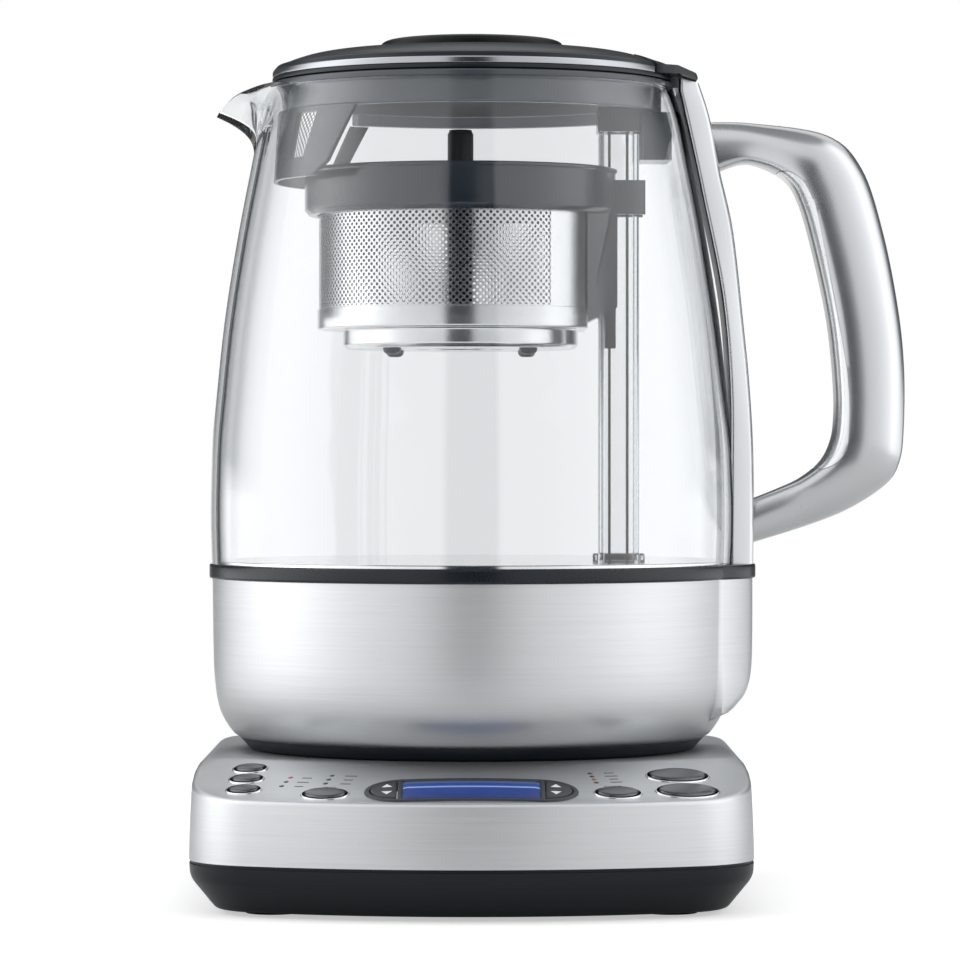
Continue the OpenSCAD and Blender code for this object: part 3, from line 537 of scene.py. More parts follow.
class TeaMakerColours(bpy.types.PropertyGroup):
    steel: colour("Steel", "Brushed steel of the jug and the base", (0.68, 0.695, 0.71))
    bright: colour("Bright metal", "Polished trim and rims", (0.83, 0.84, 0.85))
    cast: colour("Cast metal", "Handle and spine", (0.62, 0.635, 0.65))
    dome: colour("Dome", "Dark metal of the lid's dome", (0.022, 0.028, 0.035))
    charcoal: colour("Charcoal", "Band, lid rings and shroud", (0.008, 0.012, 0.016))
    black: colour("Black", "Tray, knob and underside", (0.005, 0.008, 0.011))
    grey: colour("Grey plastic", "Collar, spout filter and basket collar", (0.010, 0.017, 0.025))
    display: colour("Display", "Lit window", (0.011, 0.05, 0.27))
    glass: colour("Glass", "Tint of the glass at its edges", (0.62, 0.70, 0.76))


def sizes():
    return bpy.context.scene.tea_maker_sizes


def colours():
    return bpy.context.scene.tea_maker_colours


FINISHES = {}


def metals(c):
    """The polished metals: colour and roughness."""
    return {
        "polished_steel": (c.bright, 0.07),
        "basket_steel": (shade(c.bright, 0.76), 0.16),
        "key_metal": ((0.12, 0.13, 0.14), 0.16),
        # A paler, smoother metal for the grip's liner, which is cast metal like the handle: painted highlight.
        "painted_light_liner_metal": (shade(c.bright, 1.05), 0.24),
        # A darker copy of the polished steel for the lid's trim: painted shade.
        "painted_shade_trim_steel": ((0.42, 0.44, 0.46), 0.16),
        "screw_steel": ((0.6, 0.61, 0.62), 0.3),
        "motor_metal": ((0.45, 0.46, 0.47), 0.35),
        "magnet_metal": ((0.35, 0.36, 0.38), 0.3),
        "contact_brass": ((0.75, 0.58, 0.28), 0.2),
    }


def plastics(c):
    """The moulded plastics: colour, roughness and what differs from moulded()."""
    collar = {"spread": 0.04, "relief": 0.004, "coat": 0.3}
    lamp = {"spread": 0.05, "coat": 0.5}
    return {
        "black_plastic": (c.black, 0.33, {"gloss": 0.28}),
        "knob_black": (shade(c.black, 0.3), 0.4, {"gloss": 0.22}),
        "charcoal_plastic": (c.charcoal, 0.28, {"spread": 0.05, "relief": 0.01, "coat": 0.1, "gloss": 0.3}),
        "grey_plastic": (c.grey, 0.22, collar),
        "collar_grey": ((0.05, 0.06, 0.07), 0.22, collar),
        # Painted light: a paler grey for inner faces of the collar and the lid ring that lie in shade.
        "painted_light_grey": ((0.5, 0.52, 0.55), 0.45, {"spread": 0.05, "relief": 0.02}),
        "bezel_grey": ((0.032, 0.037, 0.042), 0.33, {"spread": 0.06}),
        "rubber_black": ((0.016, 0.016, 0.017), 0.75, {"spread": 0.1}),
        "board_green": ((0.03, 0.14, 0.06), 0.4, {}),
        "relay_blue": ((0.02, 0.045, 0.16), 0.45, {}),
        "pulley_plastic": ((0.7, 0.67, 0.58), 0.4, {}),
        "lamp_off": ((0.03, 0.032, 0.036), 0.2, lamp),
        "lamp_red": ((0.5, 0.018, 0.02), 0.2, lamp),
        "print_dark": ((0.07, 0.075, 0.08), 0.5, {"gloss": 0.1}),
        "arrow_white": ((0.82, 0.84, 0.86), 0.4, {}),
        # Painted shade: near black for the rims' inner slopes, where the gap round a key lies in shade.
        "painted_recess_shade": ((0.004, 0.004, 0.005), 0.4, {}),
    }


def new_finish(slot):
    c = colours()
    if slot in metals(c):
        tint, roughness = metals(c)[slot]
        return polished_steel(tuple(tint), slot, roughness)
    if slot in plastics(c):
        tint, roughness, rest = plastics(c)[slot]
        return moulded(slot, tuple(tint), roughness, **rest)
    return {
        "brushed_steel": lambda: brushed_steel(tuple(c.steel)),
        "base_steel": lambda: brushed_steel(tuple(c.steel), on_deck=True),
        "cast_metal": lambda: cast_metal(tuple(c.cast)),
        "dome_steel": lambda: dark_dome(tuple(c.dome)),
        "clear_glass": lambda: clear("clear_glass", tuple(c.glass), 34.0),
        "clear_plastic": lambda: clear("clear_plastic", (0.60, 0.68, 0.73), 50.0),
        "display_blue": lambda: display_glass(tuple(c.display), (0.45, 0.58, 0.8), *display_place()),
    }[slot]()


def finish(slot):
    """The material of a slot, made when it is first asked for."""
    if slot not in FINISHES:
        FINISHES[slot] = new_finish(slot)
    return FINISHES[slot]


def display_place():
    low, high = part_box("display_lens")
    return (low + high) / 2, (high.y - low.y) / 2


# ---- perforations -------------------------------------------------------------------------
def diamond_tile(pitch, hole, wall):
    """One diamond cell of a perforated sheet, with a round hole through it. All in metres."""
    corner = pitch / 2
    form = Form()
    around = []
    for i in range(8):
        a = math.pi / 4 * i
        reach = corner if i % 2 == 0 else corner / math.sqrt(2)
        rim = (math.cos(a) * reach, math.sin(a) * reach)
        bore = (math.cos(a) * hole / 2, math.sin(a) * hole / 2)
        around.append((rim, bore))
    rings = []
    for depth in (0, -wall):
        rings.append([(rim[0], depth, rim[1]) for rim, bore in around])
        rings.append([(bore[0], depth, bore[1]) for rim, bore in around])
    front_rim, front_bore, back_rim, back_bore = rings
    form.skin([front_rim, front_bore, back_bore, back_rim], closed=False, caps=False)
    mesh = bpy.data.meshes.new("tile")
    mesh.from_pydata(form.points, [], form.faces)
    return mesh


def perforation_tree():
    """Rows of tiles, staggered by half a pitch, wrapped round an upright cylinder or cone."""
    tree = bpy.data.node_groups.new("perforated_wall", "GeometryNodeTree")
    g = Graph(tree)
    tree.interface.new_socket("Geometry", in_out="INPUT", socket_type="NodeSocketGeometry")
    named = {}
    for name, kind in (("Columns", "Int"), ("Rows", "Int"), ("Pitch", "Float"), ("Radius", "Float"),
                       ("Start", "Float"), ("Bottom", "Float"), ("Flare", "Float"), ("Spread", "Float"),
                       ("Spread From", "Float"), ("Centre", "Vector"), ("Material", "Material")):
        socket = tree.interface.new_socket(name, in_out="INPUT", socket_type="NodeSocket" + kind)
        named[name] = socket.identifier
    tree.interface.new_socket("Geometry", in_out="OUTPUT", socket_type="NodeSocketGeometry")
    given = g.add("NodeGroupInput").outputs
    rows, pitch = Value(g, given["Rows"]), Value(g, given["Pitch"])
    index = g.value("GeometryNodeInputIndex")
    row = index % rows
    column = (index / rows).floor()
    sideways = (column + (row % 2) * 0.5) * pitch
    grid = g.vector(sideways, 0.0, row * pitch * 0.5)
    points = g.add("GeometryNodePoints", None, {"Count": Value(g, given["Columns"]) * rows, "Position": grid})
    placed = g.add("GeometryNodeInstanceOnPoints", None,
                   {"Points": points.outputs[0], "Instance": given["Geometry"]})
    real = g.add("GeometryNodeRealizeInstances", None, {0: placed.outputs[0]})
    u, depth, v = g.axes(g.value("GeometryNodeInputPosition"))
    radius = Value(g, given["Radius"]) + depth - v * Value(g, given["Flare"])
    spread = 1 + v * Value(g, given["Spread"])
    middle = Value(g, given["Spread From"])
    angle = middle + (Value(g, given["Start"]) + u / Value(g, given["Radius"]) - middle) * spread
    x0, y0, z0 = g.axes(given["Centre"])
    wrapped = g.vector(x0 + radius * angle.cosine(), y0 + radius * angle.sine(), z0 + Value(g, given["Bottom"]) + v)
    bent = g.add("GeometryNodeSetPosition", None, {"Geometry": real.outputs[0], "Position": wrapped})
    welded = g.add("GeometryNodeMergeByDistance", None, {"Geometry": bent.outputs[0], "Distance": 0.00002})
    painted = g.add("GeometryNodeSetMaterial", None,
                    {"Geometry": welded.outputs[0], "Material": given["Material"]})
    g.add("NodeGroupOutput", None, {0: painted.outputs[0]})
    return tree, named


def perforated(name, hole, wall, settings):
    """A perforated wall as a plain mesh. Settings are the tree's named inputs, in metres and radians."""
    tree, named = perforation_tree()
    piece = link(name, diamond_tile(settings["Pitch"], hole, wall))
    step = piece.modifiers.new("perforate", "NODES")
    step.node_group = tree
    for key, content in settings.items():
        step[named[key]] = content
    return settle(piece, 20)


def join(first, *others):
    """Adds the others' meshes to the first object."""
    work = bmesh.new()
    finishes = []
    for piece in (first, *others):
        moved = {}
        for i, finish_here in enumerate(piece.data.materials):
            if finish_here not in finishes:
                finishes.append(finish_here)
            moved[i] = finishes.index(finish_here)
        start = len(work.faces)
        work.from_mesh(piece.data)
        work.faces.ensure_lookup_table()
        for face in work.faces[start:]:
            face.material_index = moved.get(face.material_index, 0)
    mesh = bpy.data.meshes.new(first.name)
    work.to_mesh(mesh)
    work.free()
    for finish_here in finishes:
        mesh.materials.append(finish_here)
    first.data = mesh
    for piece in others:
        bpy.data.objects.remove(piece)
    return first


# ---- the base's outline and panel ---------------------------------------------------------
HALF_W, FRONT, BACK = 94.0, 118.0, 100.0
FRONT_R, FRONT_CORNER_R, BACK_CORNER_R = 190.0, 32.0, 45.0
DECK_Z, SHELL_Z, SEAT_R = 50.0, 17.7, 37.6
CREASE_R, PANEL_FALL = 152.0, 0.3
PANEL_CENTRE = Vector((0.0, FRONT_R - FRONT))
PANEL_TILT = math.atan(PANEL_FALL)
GLAND_X, GLAND_Z = -30, 26


def arc(centre, r, a0, a1, n):
    return [Vector((centre[0] + r * math.cos(a), centre[1] + r * math.sin(a)))
            for a in (math.radians(mix(a0, a1, i / n)) for i in range(n + 1))]


def base_outline(inset, front=48, corner=16, straight=12):
    """The base seen from above, drawn in by inset. Every inset gives the same count of points."""
    reach = FRONT_R - FRONT_CORNER_R
    x = HALF_W - FRONT_CORNER_R
    turn = math.degrees(math.asin(x / reach))
    low = PANEL_CENTRE.y - math.sqrt(reach * reach - x * x)
    back_x, back_y = HALF_W - BACK_CORNER_R, BACK - BACK_CORNER_R
    arcs = [arc(PANEL_CENTRE, FRONT_R - inset, 270 - turn, 270 + turn, front),
            arc((x, low), FRONT_CORNER_R - inset, 270 + turn, 360, corner),
            arc((back_x, back_y), BACK_CORNER_R - inset, 0, 90, corner),
            arc((-back_x, back_y), BACK_CORNER_R - inset, 90, 180, corner),
            arc((-x, low), FRONT_CORNER_R - inset, 180, 270 - turn, corner)]
    outline = []
    for here, there in zip(arcs, arcs[1:] + arcs[:1]):
        outline += here[:-1]
        if (here[-1] - there[0]).length > 1:
            outline += [here[-1].lerp(there[0], i / straight) for i in range(straight)]
    return outline


def panel_height(r):
    """Height of the panel's cone, at r from the panel's axis."""
    return DECK_Z - PANEL_FALL * (r - CREASE_R)


def top_height(p, softness=1.4):
    """Height of the steel's top: the deck, with a soft crease where the panel starts."""
    d = (p - PANEL_CENTRE).length - CREASE_R
    if d <= -softness:
        return DECK_Z
    return DECK_Z - PANEL_FALL * (d if d >= softness else (d + softness) ** 2 / (4 * softness))


def panel_frame(place):
    """Stands a place = (degrees from the front, radius) on the panel, +Z outwards."""
    return (Matrix.Translation((PANEL_CENTRE.x, PANEL_CENTRE.y, 0)) @ Matrix.Rotation(math.radians(place[0]), 4, "Z")
            @ Matrix.Translation((0, -place[1], panel_height(place[1]))) @ Matrix.Rotation(PANEL_TILT, 4, "X"))


def on_panel(stand, u, v, w):
    """A point at (u, v) in the frame, w above the curved panel."""
    t = 0.0
    for _ in range(4):
        p = stand @ Vector((u, v, t))
        t -= (p.z - panel_height((p.xy - PANEL_CENTRE).length)) * math.cos(PANEL_TILT)
    return stand @ Vector((u, v, t + w))


def oval(size, grow, count=56):
    return [((size[0] / 2 + grow) * math.cos(a), (size[1] / 2 + grow) * math.sin(a))
            for a in (2 * math.pi * i / count for i in range(count))]


WINDOW_HALF_W, DISPLAY_HALF = 22.5, (35.0, 9.8)
DISPLAY_AT = (0.0, 176.3)


def display_half_height(u, inset=0.0):
    """Half the height of the display's outline at u from its middle."""
    end = DISPLAY_HALF[0] - WINDOW_HALF_W - inset
    past = max(abs(u) - WINDOW_HALF_W, 0.0) / end
    return (DISPLAY_HALF[1] - inset) * math.sqrt(max(1 - past * past, 0.0))


def display_outline(inset):
    end = DISPLAY_HALF[0] - WINDOW_HALF_W - inset
    high = DISPLAY_HALF[1] - inset
    right = [(WINDOW_HALF_W + end * math.cos(a), high * math.sin(a))
             for a in (math.radians(mix(-90, 90, i / 28)) for i in range(28))]
    top = [(mix(WINDOW_HALF_W, -WINDOW_HALF_W, i / 18), high) for i in range(18)]
    return right + top + [(-x, -y) for x, y in right] + [(-x, -y) for x, y in top]


SMALL_KEY, MIDDLE_KEY, LARGE_KEY = (10.5, 6.6), (14.0, 8.7), (20.4, 11.0)
KEYS = {
    "auto_start_button": ((-24.7, 179.4), SMALL_KEY),
    "keep_warm_button": ((-26.0, 170.0), SMALL_KEY),
    "clock_button": ((-27.3, 160.8), SMALL_KEY),
    "tea_type_button": ((-15.3, 181.3), MIDDLE_KEY),
    "strength_button": ((15.4, 180.3), MIDDLE_KEY),
    "hot_water_button": ((24.2, 166.6), LARGE_KEY),
    "tea_button": ((23.2, 180.2), LARGE_KEY),
}
# Columns of lamps: degrees from the front, radius of the middle lamp, count, spacing, the lit one
LAMPS = [(-20.9, 171.3, 3, 3.8, 2), (-16.2, 168.5, 3, 3.5, -1), (13.9, 166.7, 4, 2.7, 1)]
LAMP_R = 0.8


def lamp_places():
    for angle, r, count, gap, lit in LAMPS:
        for i in range(count):
            yield (angle, r + (i - (count - 1) / 2) * gap), i == count - 1 - lit


# ---- base ---------------------------------------------------------------------------------
def shell_skin(inset):
    """Rings of the steel shell from its lower edge up to the seat, drawn in by inset."""
    lean = 0.9                                         # how far the side comes in over its height
    columns = []
    for foot, within in zip(base_outline(inset), base_outline(inset + 6.5)):
        inwards = (within - foot).normalized()
        front = smooth_step((DECK_Z - top_height(foot)) / 5.0)
        wide, high = mix(5.2, 1.7, front), mix(6.5, 1.8, front)      # the round edge, tighter at the front
        edge = foot + inwards * (lean + wide)
        base_of_round = top_height(edge) - inset - high
        column = [(0.0, SHELL_Z)]
        column += [(lean * t ** 1.6, mix(SHELL_Z, base_of_round, t)) for t in (0.25, 0.5, 0.75, 0.9)]
        for k in range(9):
            a = math.pi / 2 * k / 8
            column.append((lean + wide * (1 - math.cos(a)), base_of_round + high * math.sin(a)))
        points = [(*(foot + inwards * d), z) for d, z in column]
        seat_at = edge.normalized() * (SEAT_R + 0.12)
        line = seat_at - edge
        whole = line.length
        crease = crease_crossing(edge, line / whole, whole)
        spread = min(1.0, crease / 4.0)
        near = [crease + o * spread for o in (-3.2, -2.2, -1.4, -0.7, 0.0, 0.7, 1.4, 2.2, 3.2)]
        panel = [mix(0.0, near[0], k / 7) for k in range(1, 7)]
        deck = [mix(near[-1], whole, k / 9) for k in range(1, 10)]
        for s in panel + near + deck:
            p = edge + line / whole * s
            points.append((p.x, p.y, top_height(p) - inset))
        columns.append(points)
    return [list(ring) for ring in zip(*columns)]


def crease_crossing(start, way, whole):
    """How far along the way the crease lies, or nearly 0 where the way starts behind it."""
    offset = start - PANEL_CENTRE
    b, c = offset.dot(way), offset.length_squared - CREASE_R ** 2
    if c <= 0:
        return 0.05
    root = b * b - c
    return min(max(-b - math.sqrt(max(root, 0.0)), 0.05), whole * 0.8)


def panel_prism(form, place, outline, low, high):
    stand = panel_frame(place)
    rings = [[stand @ Vector((u, v, w)) for u, v in outline] for w in (low, high)]
    return form.skin(rings, closed=False)


def panel_rings(form, place, outline_at, profile, finish_from=None, closed=True):
    """Rings on the panel: outline_at(first) at height second, for each pair of the profile."""
    stand = panel_frame(place)
    rings = [[on_panel(stand, u, v, w) for u, v in outline_at(d)] for d, w in profile]
    if finish_from is None:
        return form.skin(rings, closed=closed, caps=not closed)
    form.skin(rings[:finish_from + 1], closed=False, caps=False)
    return form.skin(rings[finish_from:] + rings[:1], 1, closed=False, caps=False)


class TEA_OT_base_shell(bpy.types.Operator):
    """Builds the brushed steel shell of the base, with the wells of its keys, lamps and display"""
    bl_idname = "tea.base_shell"
    bl_label = "Base shell"

    def execute(self, context):
        outer, inner = shell_skin(0.0), shell_skin(1.5)
        form = Form().skin(outer + inner[::-1])
        shell = build("steel_shell", form, BASE, "base_steel", sharp=32)
        cuts = Form()
        for place, size in KEYS.values():
            panel_prism(cuts, place, oval(size, 1.34), -4, 6)
        panel_prism(cuts, DISPLAY_AT, display_outline(0.9), -6, 6)
        for place, _ in lamp_places():
            panel_prism(cuts, place, oval((2 * LAMP_R, 2 * LAMP_R), 0.12, 12), -4, 4)
        gland = len(cuts.points)
        cuts.turned(rod(5.15, -5, 3), flats=32)
        cuts.points[gland:] = [(GLAND_X + x, BACK + 1 - z, GLAND_Z + y) for x, y, z in cuts.points[gland:]]
        carve(shell, BASE, [cuts], sharp=32)
        fit(shell, "base", "brushed_steel", "base_shell")
        return {"FINISHED"}


class TEA_OT_tray(bpy.types.Operator):
    """Builds the black tray under the steel shell"""
    bl_idname = "tea.tray"
    bl_label = "Bottom tray"

    def execute(self, context):
        section = rounded([(13, 1.5), (9, 1.5, 3), (0.35, 12, 9), (0.05, 16.6), (0.7, 16.7), (0.7, 17.66),
                           (2.5, 17.66), (2.8, 12.5, 6), (10.5, 4, 3), (16, 4)], 5)
        form = Form().skin([[(p.x, p.y, z) for p in base_outline(d)] for d, z in section], closed=False)
        tray = build("bottom_pan", form, BASE, "black_plastic")
        cuts = Form()
        for x, y in ((66, -76), (-66, -76), (60, 66), (-60, 66)):
            cuts.turned(rod(9.3, -1, 2.5), (x, y), 48)
        for x, y in ((76, -38), (-76, -38), (78, 30), (-78, 30)):
            cuts.turned([(0, -1), (3.5, -1), (3.5, 2.8), (1.8, 2.8), (1.8, 9), (0, 9)], (x, y), 32)
        carve(tray, BASE, [cuts])
        fit(tray, "base", "black_plastic", "bottom_tray")
        return {"FINISHED"}


class TEA_OT_seat(bpy.types.Operator):
    """Builds the round black seat, the shroud round the connector and the cord gland"""
    bl_idname = "tea.seat"
    bl_label = "Seat and shroud"

    def execute(self, context):
        seat = Form().turned(rounded([(17.3, 44), (42, 44), (42, 48.45), (37.6, 48.45), (37.6, 49.8, 0.4),
                                      (34, 49.9, 1), (24, 49.9, 0.8), (21.4, 48.2, 0.5), (17.3, 48.2)]))
        make("seat_ring", seat, BASE, "base", "black_plastic", "seat_insert")
        ring = Form().turned(rounded([(17.05, 0.3), (20.6, 0.3), (20.6, 9.3, 1.2), (17.05, 9.3, 0.6)]))
        make("shroud_ring", ring, JUG, "connector_shroud", "charcoal_plastic", "connector_shroud")
        gland = Form().turned(rounded([(3.6, 1.2, 0.4), (6.3, 1.2, 0.8), (7, 0.02), (5.1, 0), (5.1, -2.4), (7.5, -2.4),
                                       (7.5, -8), (5.1, -8), (5.1, -14), (3.6, -14)]), flats=72)
        gland.points = [(GLAND_X + x, BACK + z, GLAND_Z + y) for x, y, z in gland.points]
        make("gland_bush", gland, BASE, "base", "rubber_black", "cord_gland")
        return {"FINISHED"}


class TEA_OT_keys(bpy.types.Operator):
    """Builds the seven polished keys, their rims and the marks printed beside them"""
    bl_idname = "tea.keys"
    bl_label = "Keys"

    CAP = [(1.1, -2.7), (1.1, -1.5), (0, -1.5), (0, 0.35), (-0.1, 0.66), (-0.35, 0.9), (-0.8, 1.0), (-1.5, 1.08),
           (-2.4, 1.14)]
    RIM = [(1.3, -1.2), (1.3, 0.22), (1.2, 0.36), (1.02, 0.42), (0.84, 0.38), (0.72, 0.2), (0.4, -0.75),
           (0.35, -1.2)]
    DASHES = [(-24.9, 174.7, 5.5), (-26.1, 165.5, 6), (-27.3, 156.6, 4.5), (-15.3, 175.2, 4), (15.4, 174.3, 6),
              (24.2, 174.0, 6.5), (-18.9, 175.1, 3), (-18.9, 171.4, 4), (-18.9, 167.6, 3.4), (-13.9, 172.0, 3.6),
              (-13.9, 168.5, 3), (-13.9, 165.0, 4), (16.2, 170.7, 4), (16.2, 168.0, 3), (16.2, 165.3, 4.4),
              (16.2, 162.6, 3.4)]

    def execute(self, context):
        rims = Form()
        for name, (place, size) in KEYS.items():
            form = Form()
            panel_rings(form, place, lambda d, size=size: oval(size, d), self.CAP, closed=False)
            stem = oval((3.6, 3.6), 0, 24)
            panel_prism(form, place, stem, -5.6, -2.6)
            make(name.replace("button", "key"), form, BASE, name, "key_metal", name)
            panel_rings(rims, place, lambda d, size=size: oval(size, d), self.RIM, finish_from=4)
        # The rims' inner slopes, from the fifth ring of the profile on, take the near-black finish: painted shade in
        # the gap round each key.
        fit(build("key_rims", rims, BASE, "polished_steel", "painted_recess_shade"), "base",
            "polished_steel", "button_rims")
        marks = Form()
        for angle, r, long in self.DASHES:
            stand = panel_frame((angle, r))
            half = long / 2
            dash = [(-half, -0.3), (half, -0.3), (half, 0.3), (-half, 0.3)]
            marks.skin([[on_panel(stand, u, v, w) for u, v in dash] for w in (-0.05, 0.03)], closed=False)
        fit(build("printed_marks", marks, BASE, "print_dark"), "base", "charcoal_plastic")
        return {"FINISHED"}


class TEA_OT_lamps(bpy.types.Operator):
    """Builds the indicator lamps, two of them lit red"""
    bl_idname = "tea.lamps"
    bl_label = "Lamps"

    def execute(self, context):
        form = Form()
        for place, lit in lamp_places():
            stand = panel_frame(place)
            profile = [(0, -10.4), (0, 0.0), (-0.12, 0.12), (-0.35, 0.19)]
            rings = [[stand @ Vector((u, v, w)) for u, v in oval((2 * LAMP_R, 2 * LAMP_R), d, 20)] for d, w in profile]
            form.skin(rings, 1 if lit else 0, closed=False)
        fit(build("lamp_pins", form, BASE, "lamp_off", "lamp_red"), "base", "lamp_lens",
            "indicator_leds")
        return {"FINISHED"}


class TEA_OT_display(bpy.types.Operator):
    """Builds the display's frame, its blue window and the two arrow rockers"""
    bl_idname = "tea.display"
    bl_label = "Display and rockers"

    FRAME = [(0, -3), (0, 0.3), (0.12, 0.5), (0.35, 0.6), (1.4, 0.6), (1.62, 0.52), (1.75, 0.3), (1.8, -3)]

    def slab(self, form, from_u, to_u, columns, half_height, low, high, crown=0.0):
        """A plate that follows the panel, with rounded edges and a slight crown."""
        stand = panel_frame(DISPLAY_AT)
        rings = []
        for i in range(columns + 1):
            u = mix(from_u, to_u, i / columns)
            end = min(i, columns - i)
            lower = 0.25 if end == 0 else 0.0
            v_max = max(half_height(u), 0.3)
            loop = [(-v_max, low), (-v_max, high - 0.3), (-v_max + 0.1, high - 0.1)]
            loop += [(mix(-v_max + 0.3, v_max - 0.3, k / 8), high + crown * (1 - (k / 4 - 1) ** 2)) for k in range(9)]
            loop += [(v_max - 0.1, high - 0.1), (v_max, high - 0.3), (v_max, low)]
            rings.append([on_panel(stand, u, v, w if w == low else w - lower) for v, w in loop])
        return form.skin(rings, closed=False)

    def execute(self, context):
        frame_form = Form()
        panel_rings(frame_form, DISPLAY_AT, display_outline, self.FRAME)
        for side in (-1, 1):
            self.slab(frame_form, side * 22.45, side * 24.15, 3, lambda u: 8.4, -3, 0.55)
        make("display_frame", frame_form, BASE, "base", "bezel_grey", "panel_bezel")
        window = Form()
        self.slab(window, -22.4, 22.4, 30, lambda u: 7.95, -1.6, 0.4, 0.05)
        make("display_window", window, BASE, "base", "display_blue", "display_lens")
        for side, name in ((-1, "temperature_rocker"), (1, "time_rocker")):
            form = Form()
            self.slab(form, side * 24.4, side * 32.9, 22, lambda u: display_half_height(u, 2.0), -3, 0.82, 0.08)
            stand = panel_frame(DISPLAY_AT)
            for up in (-1, 1):
                arrow = [(side * 27.6 - 1.75, up * 1.9), (side * 27.6 + 1.75, up * 1.9), (side * 27.6, up * 4.6)]
                form.skin([[on_panel(stand, u, v, w) for u, v in arrow] for w in (0.6, 0.93)], 1, closed=False)
            fit(build(name.replace("rocker", "arrows"), form, BASE, "bezel_grey", "arrow_white"),
                name, "bezel_grey", name)
        return {"FINISHED"}


# ---- jug ----------------------------------------------------------------------------------
BODY_TOP, BAND_TOP, GLASS_TOP = 59.3, 64.3, 228.8
BODY_SIDE = spline([(81, 4.5), (83.3, 6.2), (86.8, 11.7), (88.6, 17.3), (89.6, 25.7), (90, 36), (90.3, BODY_TOP)], 6)
POD_SIDE = spline([(84, 12), (88.6, 13.8), (91.7, 16.6), (94.5, 19.4), (96.9, 25), (98, 33), (98.3, 47),
                   (98.3, BODY_TOP)], 5)
GLASS_SIDE = spline([(90.6, 64.35), (91, 80), (90.8, 93), (90.3, 107), (89, 121), (86, 149), (81.6, 177),
                     (77, 201), (73.5, 218), (70.2, GLASS_TOP)], 5)
POD_PLAN = [(84.6 + 13.7 * math.cos(math.pi / 2 * t) ** 0.8, 31 * t) for t in (i / 80 for i in range(80))]
POD_PLAN.append((84.6, 31.0))
POD_REACH = [(math.hypot(x, y), math.degrees(math.atan2(y, x))) for x, y in POD_PLAN]


def soft_max(a, b, k):
    h = max(k - abs(a - b), 0.0) / k
    return max(a, b) + h * h * k / 4


def pod_reach(angle):
    """Distance from the jug's axis to the bulge under the handle, seen from above."""
    angle = abs((angle + 180) % 360 - 180)
    return along(POD_REACH, angle) if angle < POD_REACH[-1][1] else 0.0


def around(dense_at, dense):
    """Angles all round, in degrees, with extra ones on both sides of one direction."""
    angles = {round(i * ALL_ROUND / TURN, 4) for i in range(TURN)}
    near = max(dense)
    angles = {a for a in angles if abs((a - dense_at + 180) % 360 - 180) > near}
    for d in dense:
        angles |= {round((dense_at + d) % 360, 4), round((dense_at - d) % 360, 4)}
    return sorted(angles)


def field(form, angles, rows):
    """A closed wall round the jug's axis. Each row gives (radius, height) for an angle."""
    rings = []
    for row in rows:
        ring = []
        for angle in angles:
            r, z = row(angle)
            ring.append((*polar(r, angle), z))
        rings.append(ring)
    return form.skin(rings)


POD_ANGLES = [i * 0.75 for i in range(0, 33)]
POD_FOOT = 11.5


def body_reach(angle, z, inset=0.0):
    r = along(BODY_SIDE, z) - inset
    plan = pod_reach(angle)
    if plan and z > POD_FOOT:
        side = along(POD_SIDE, z) / max(math.cos(math.radians(angle)), 0.2)
        r = soft_max(r, -soft_max(-plan, -side, 2.5) - inset, 1.6)
    return r


class TEA_OT_jug_body(bpy.types.Operator):
    """Builds the jug's steel body with the bulge under the handle, the dark band and the underside"""
    bl_idname = "tea.jug_body"
    bl_label = "Jug body"

    def execute(self, context):
        heights = [mix(4.5, 12, i / 7) for i in range(7)] + [mix(12, 36, i / 16) for i in range(16)]
        heights += [mix(36, BODY_TOP, i / 8) for i in range(9)]
        angles = around(0.0, POD_ANGLES)
        outer = [lambda a, z=z: (body_reach(a, z), z) for z in heights]
        inner = [lambda a, z=z: (body_reach(a, z, 1.2), z) for z in reversed(heights)]
        body = build("body_shell", field(Form(), angles, outer + inner), JUG, "brushed_steel")
        fit(body, "jug", "brushed_steel", "steel_body")

        def band(step_in, z):
            return lambda a: (soft_max(91.4, pod_reach(a) + 0.5, 1.6) - step_in, z)
        rows = [band(0.8, 59.34), band(0.3, 59.45), band(0.06, 59.75), band(0, 60.2), band(0, 63.4), band(0.06, 63.85),
                band(0.3, 64.15), band(0.8, 64.28), lambda a: (84.1, 64.28), lambda a: (84.1, 59.34)]
        make("dark_band", field(Form(), angles, rows), JUG, "jug", "charcoal_plastic", "seal_band")
        under = Form().turned(rounded([(24.3, 2.4), (58, 2.4, 1), (60, 0.02, 0.8), (77, 0.02, 3), (80.9, 4.4),
                                       (79.4, 4.5), (79.4, 7.6), (77.6, 7.6), (77.6, 4.6), (75.5, 2.4), (62, 2.4),
                                       (60, 4.8), (24.3, 4.8)]))
        underside = build("underside_ring", under, JUG, "black_plastic")
        holes = Form()
        for angle in (60, 180, 300):
            holes.turned(rod(1.65, -1, 9), polar(29.5, angle), 24)
        carve(underside, JUG, [holes])
        fit(underside, "jug", "black_plastic", "jug_underside")
        return {"FINISHED"}


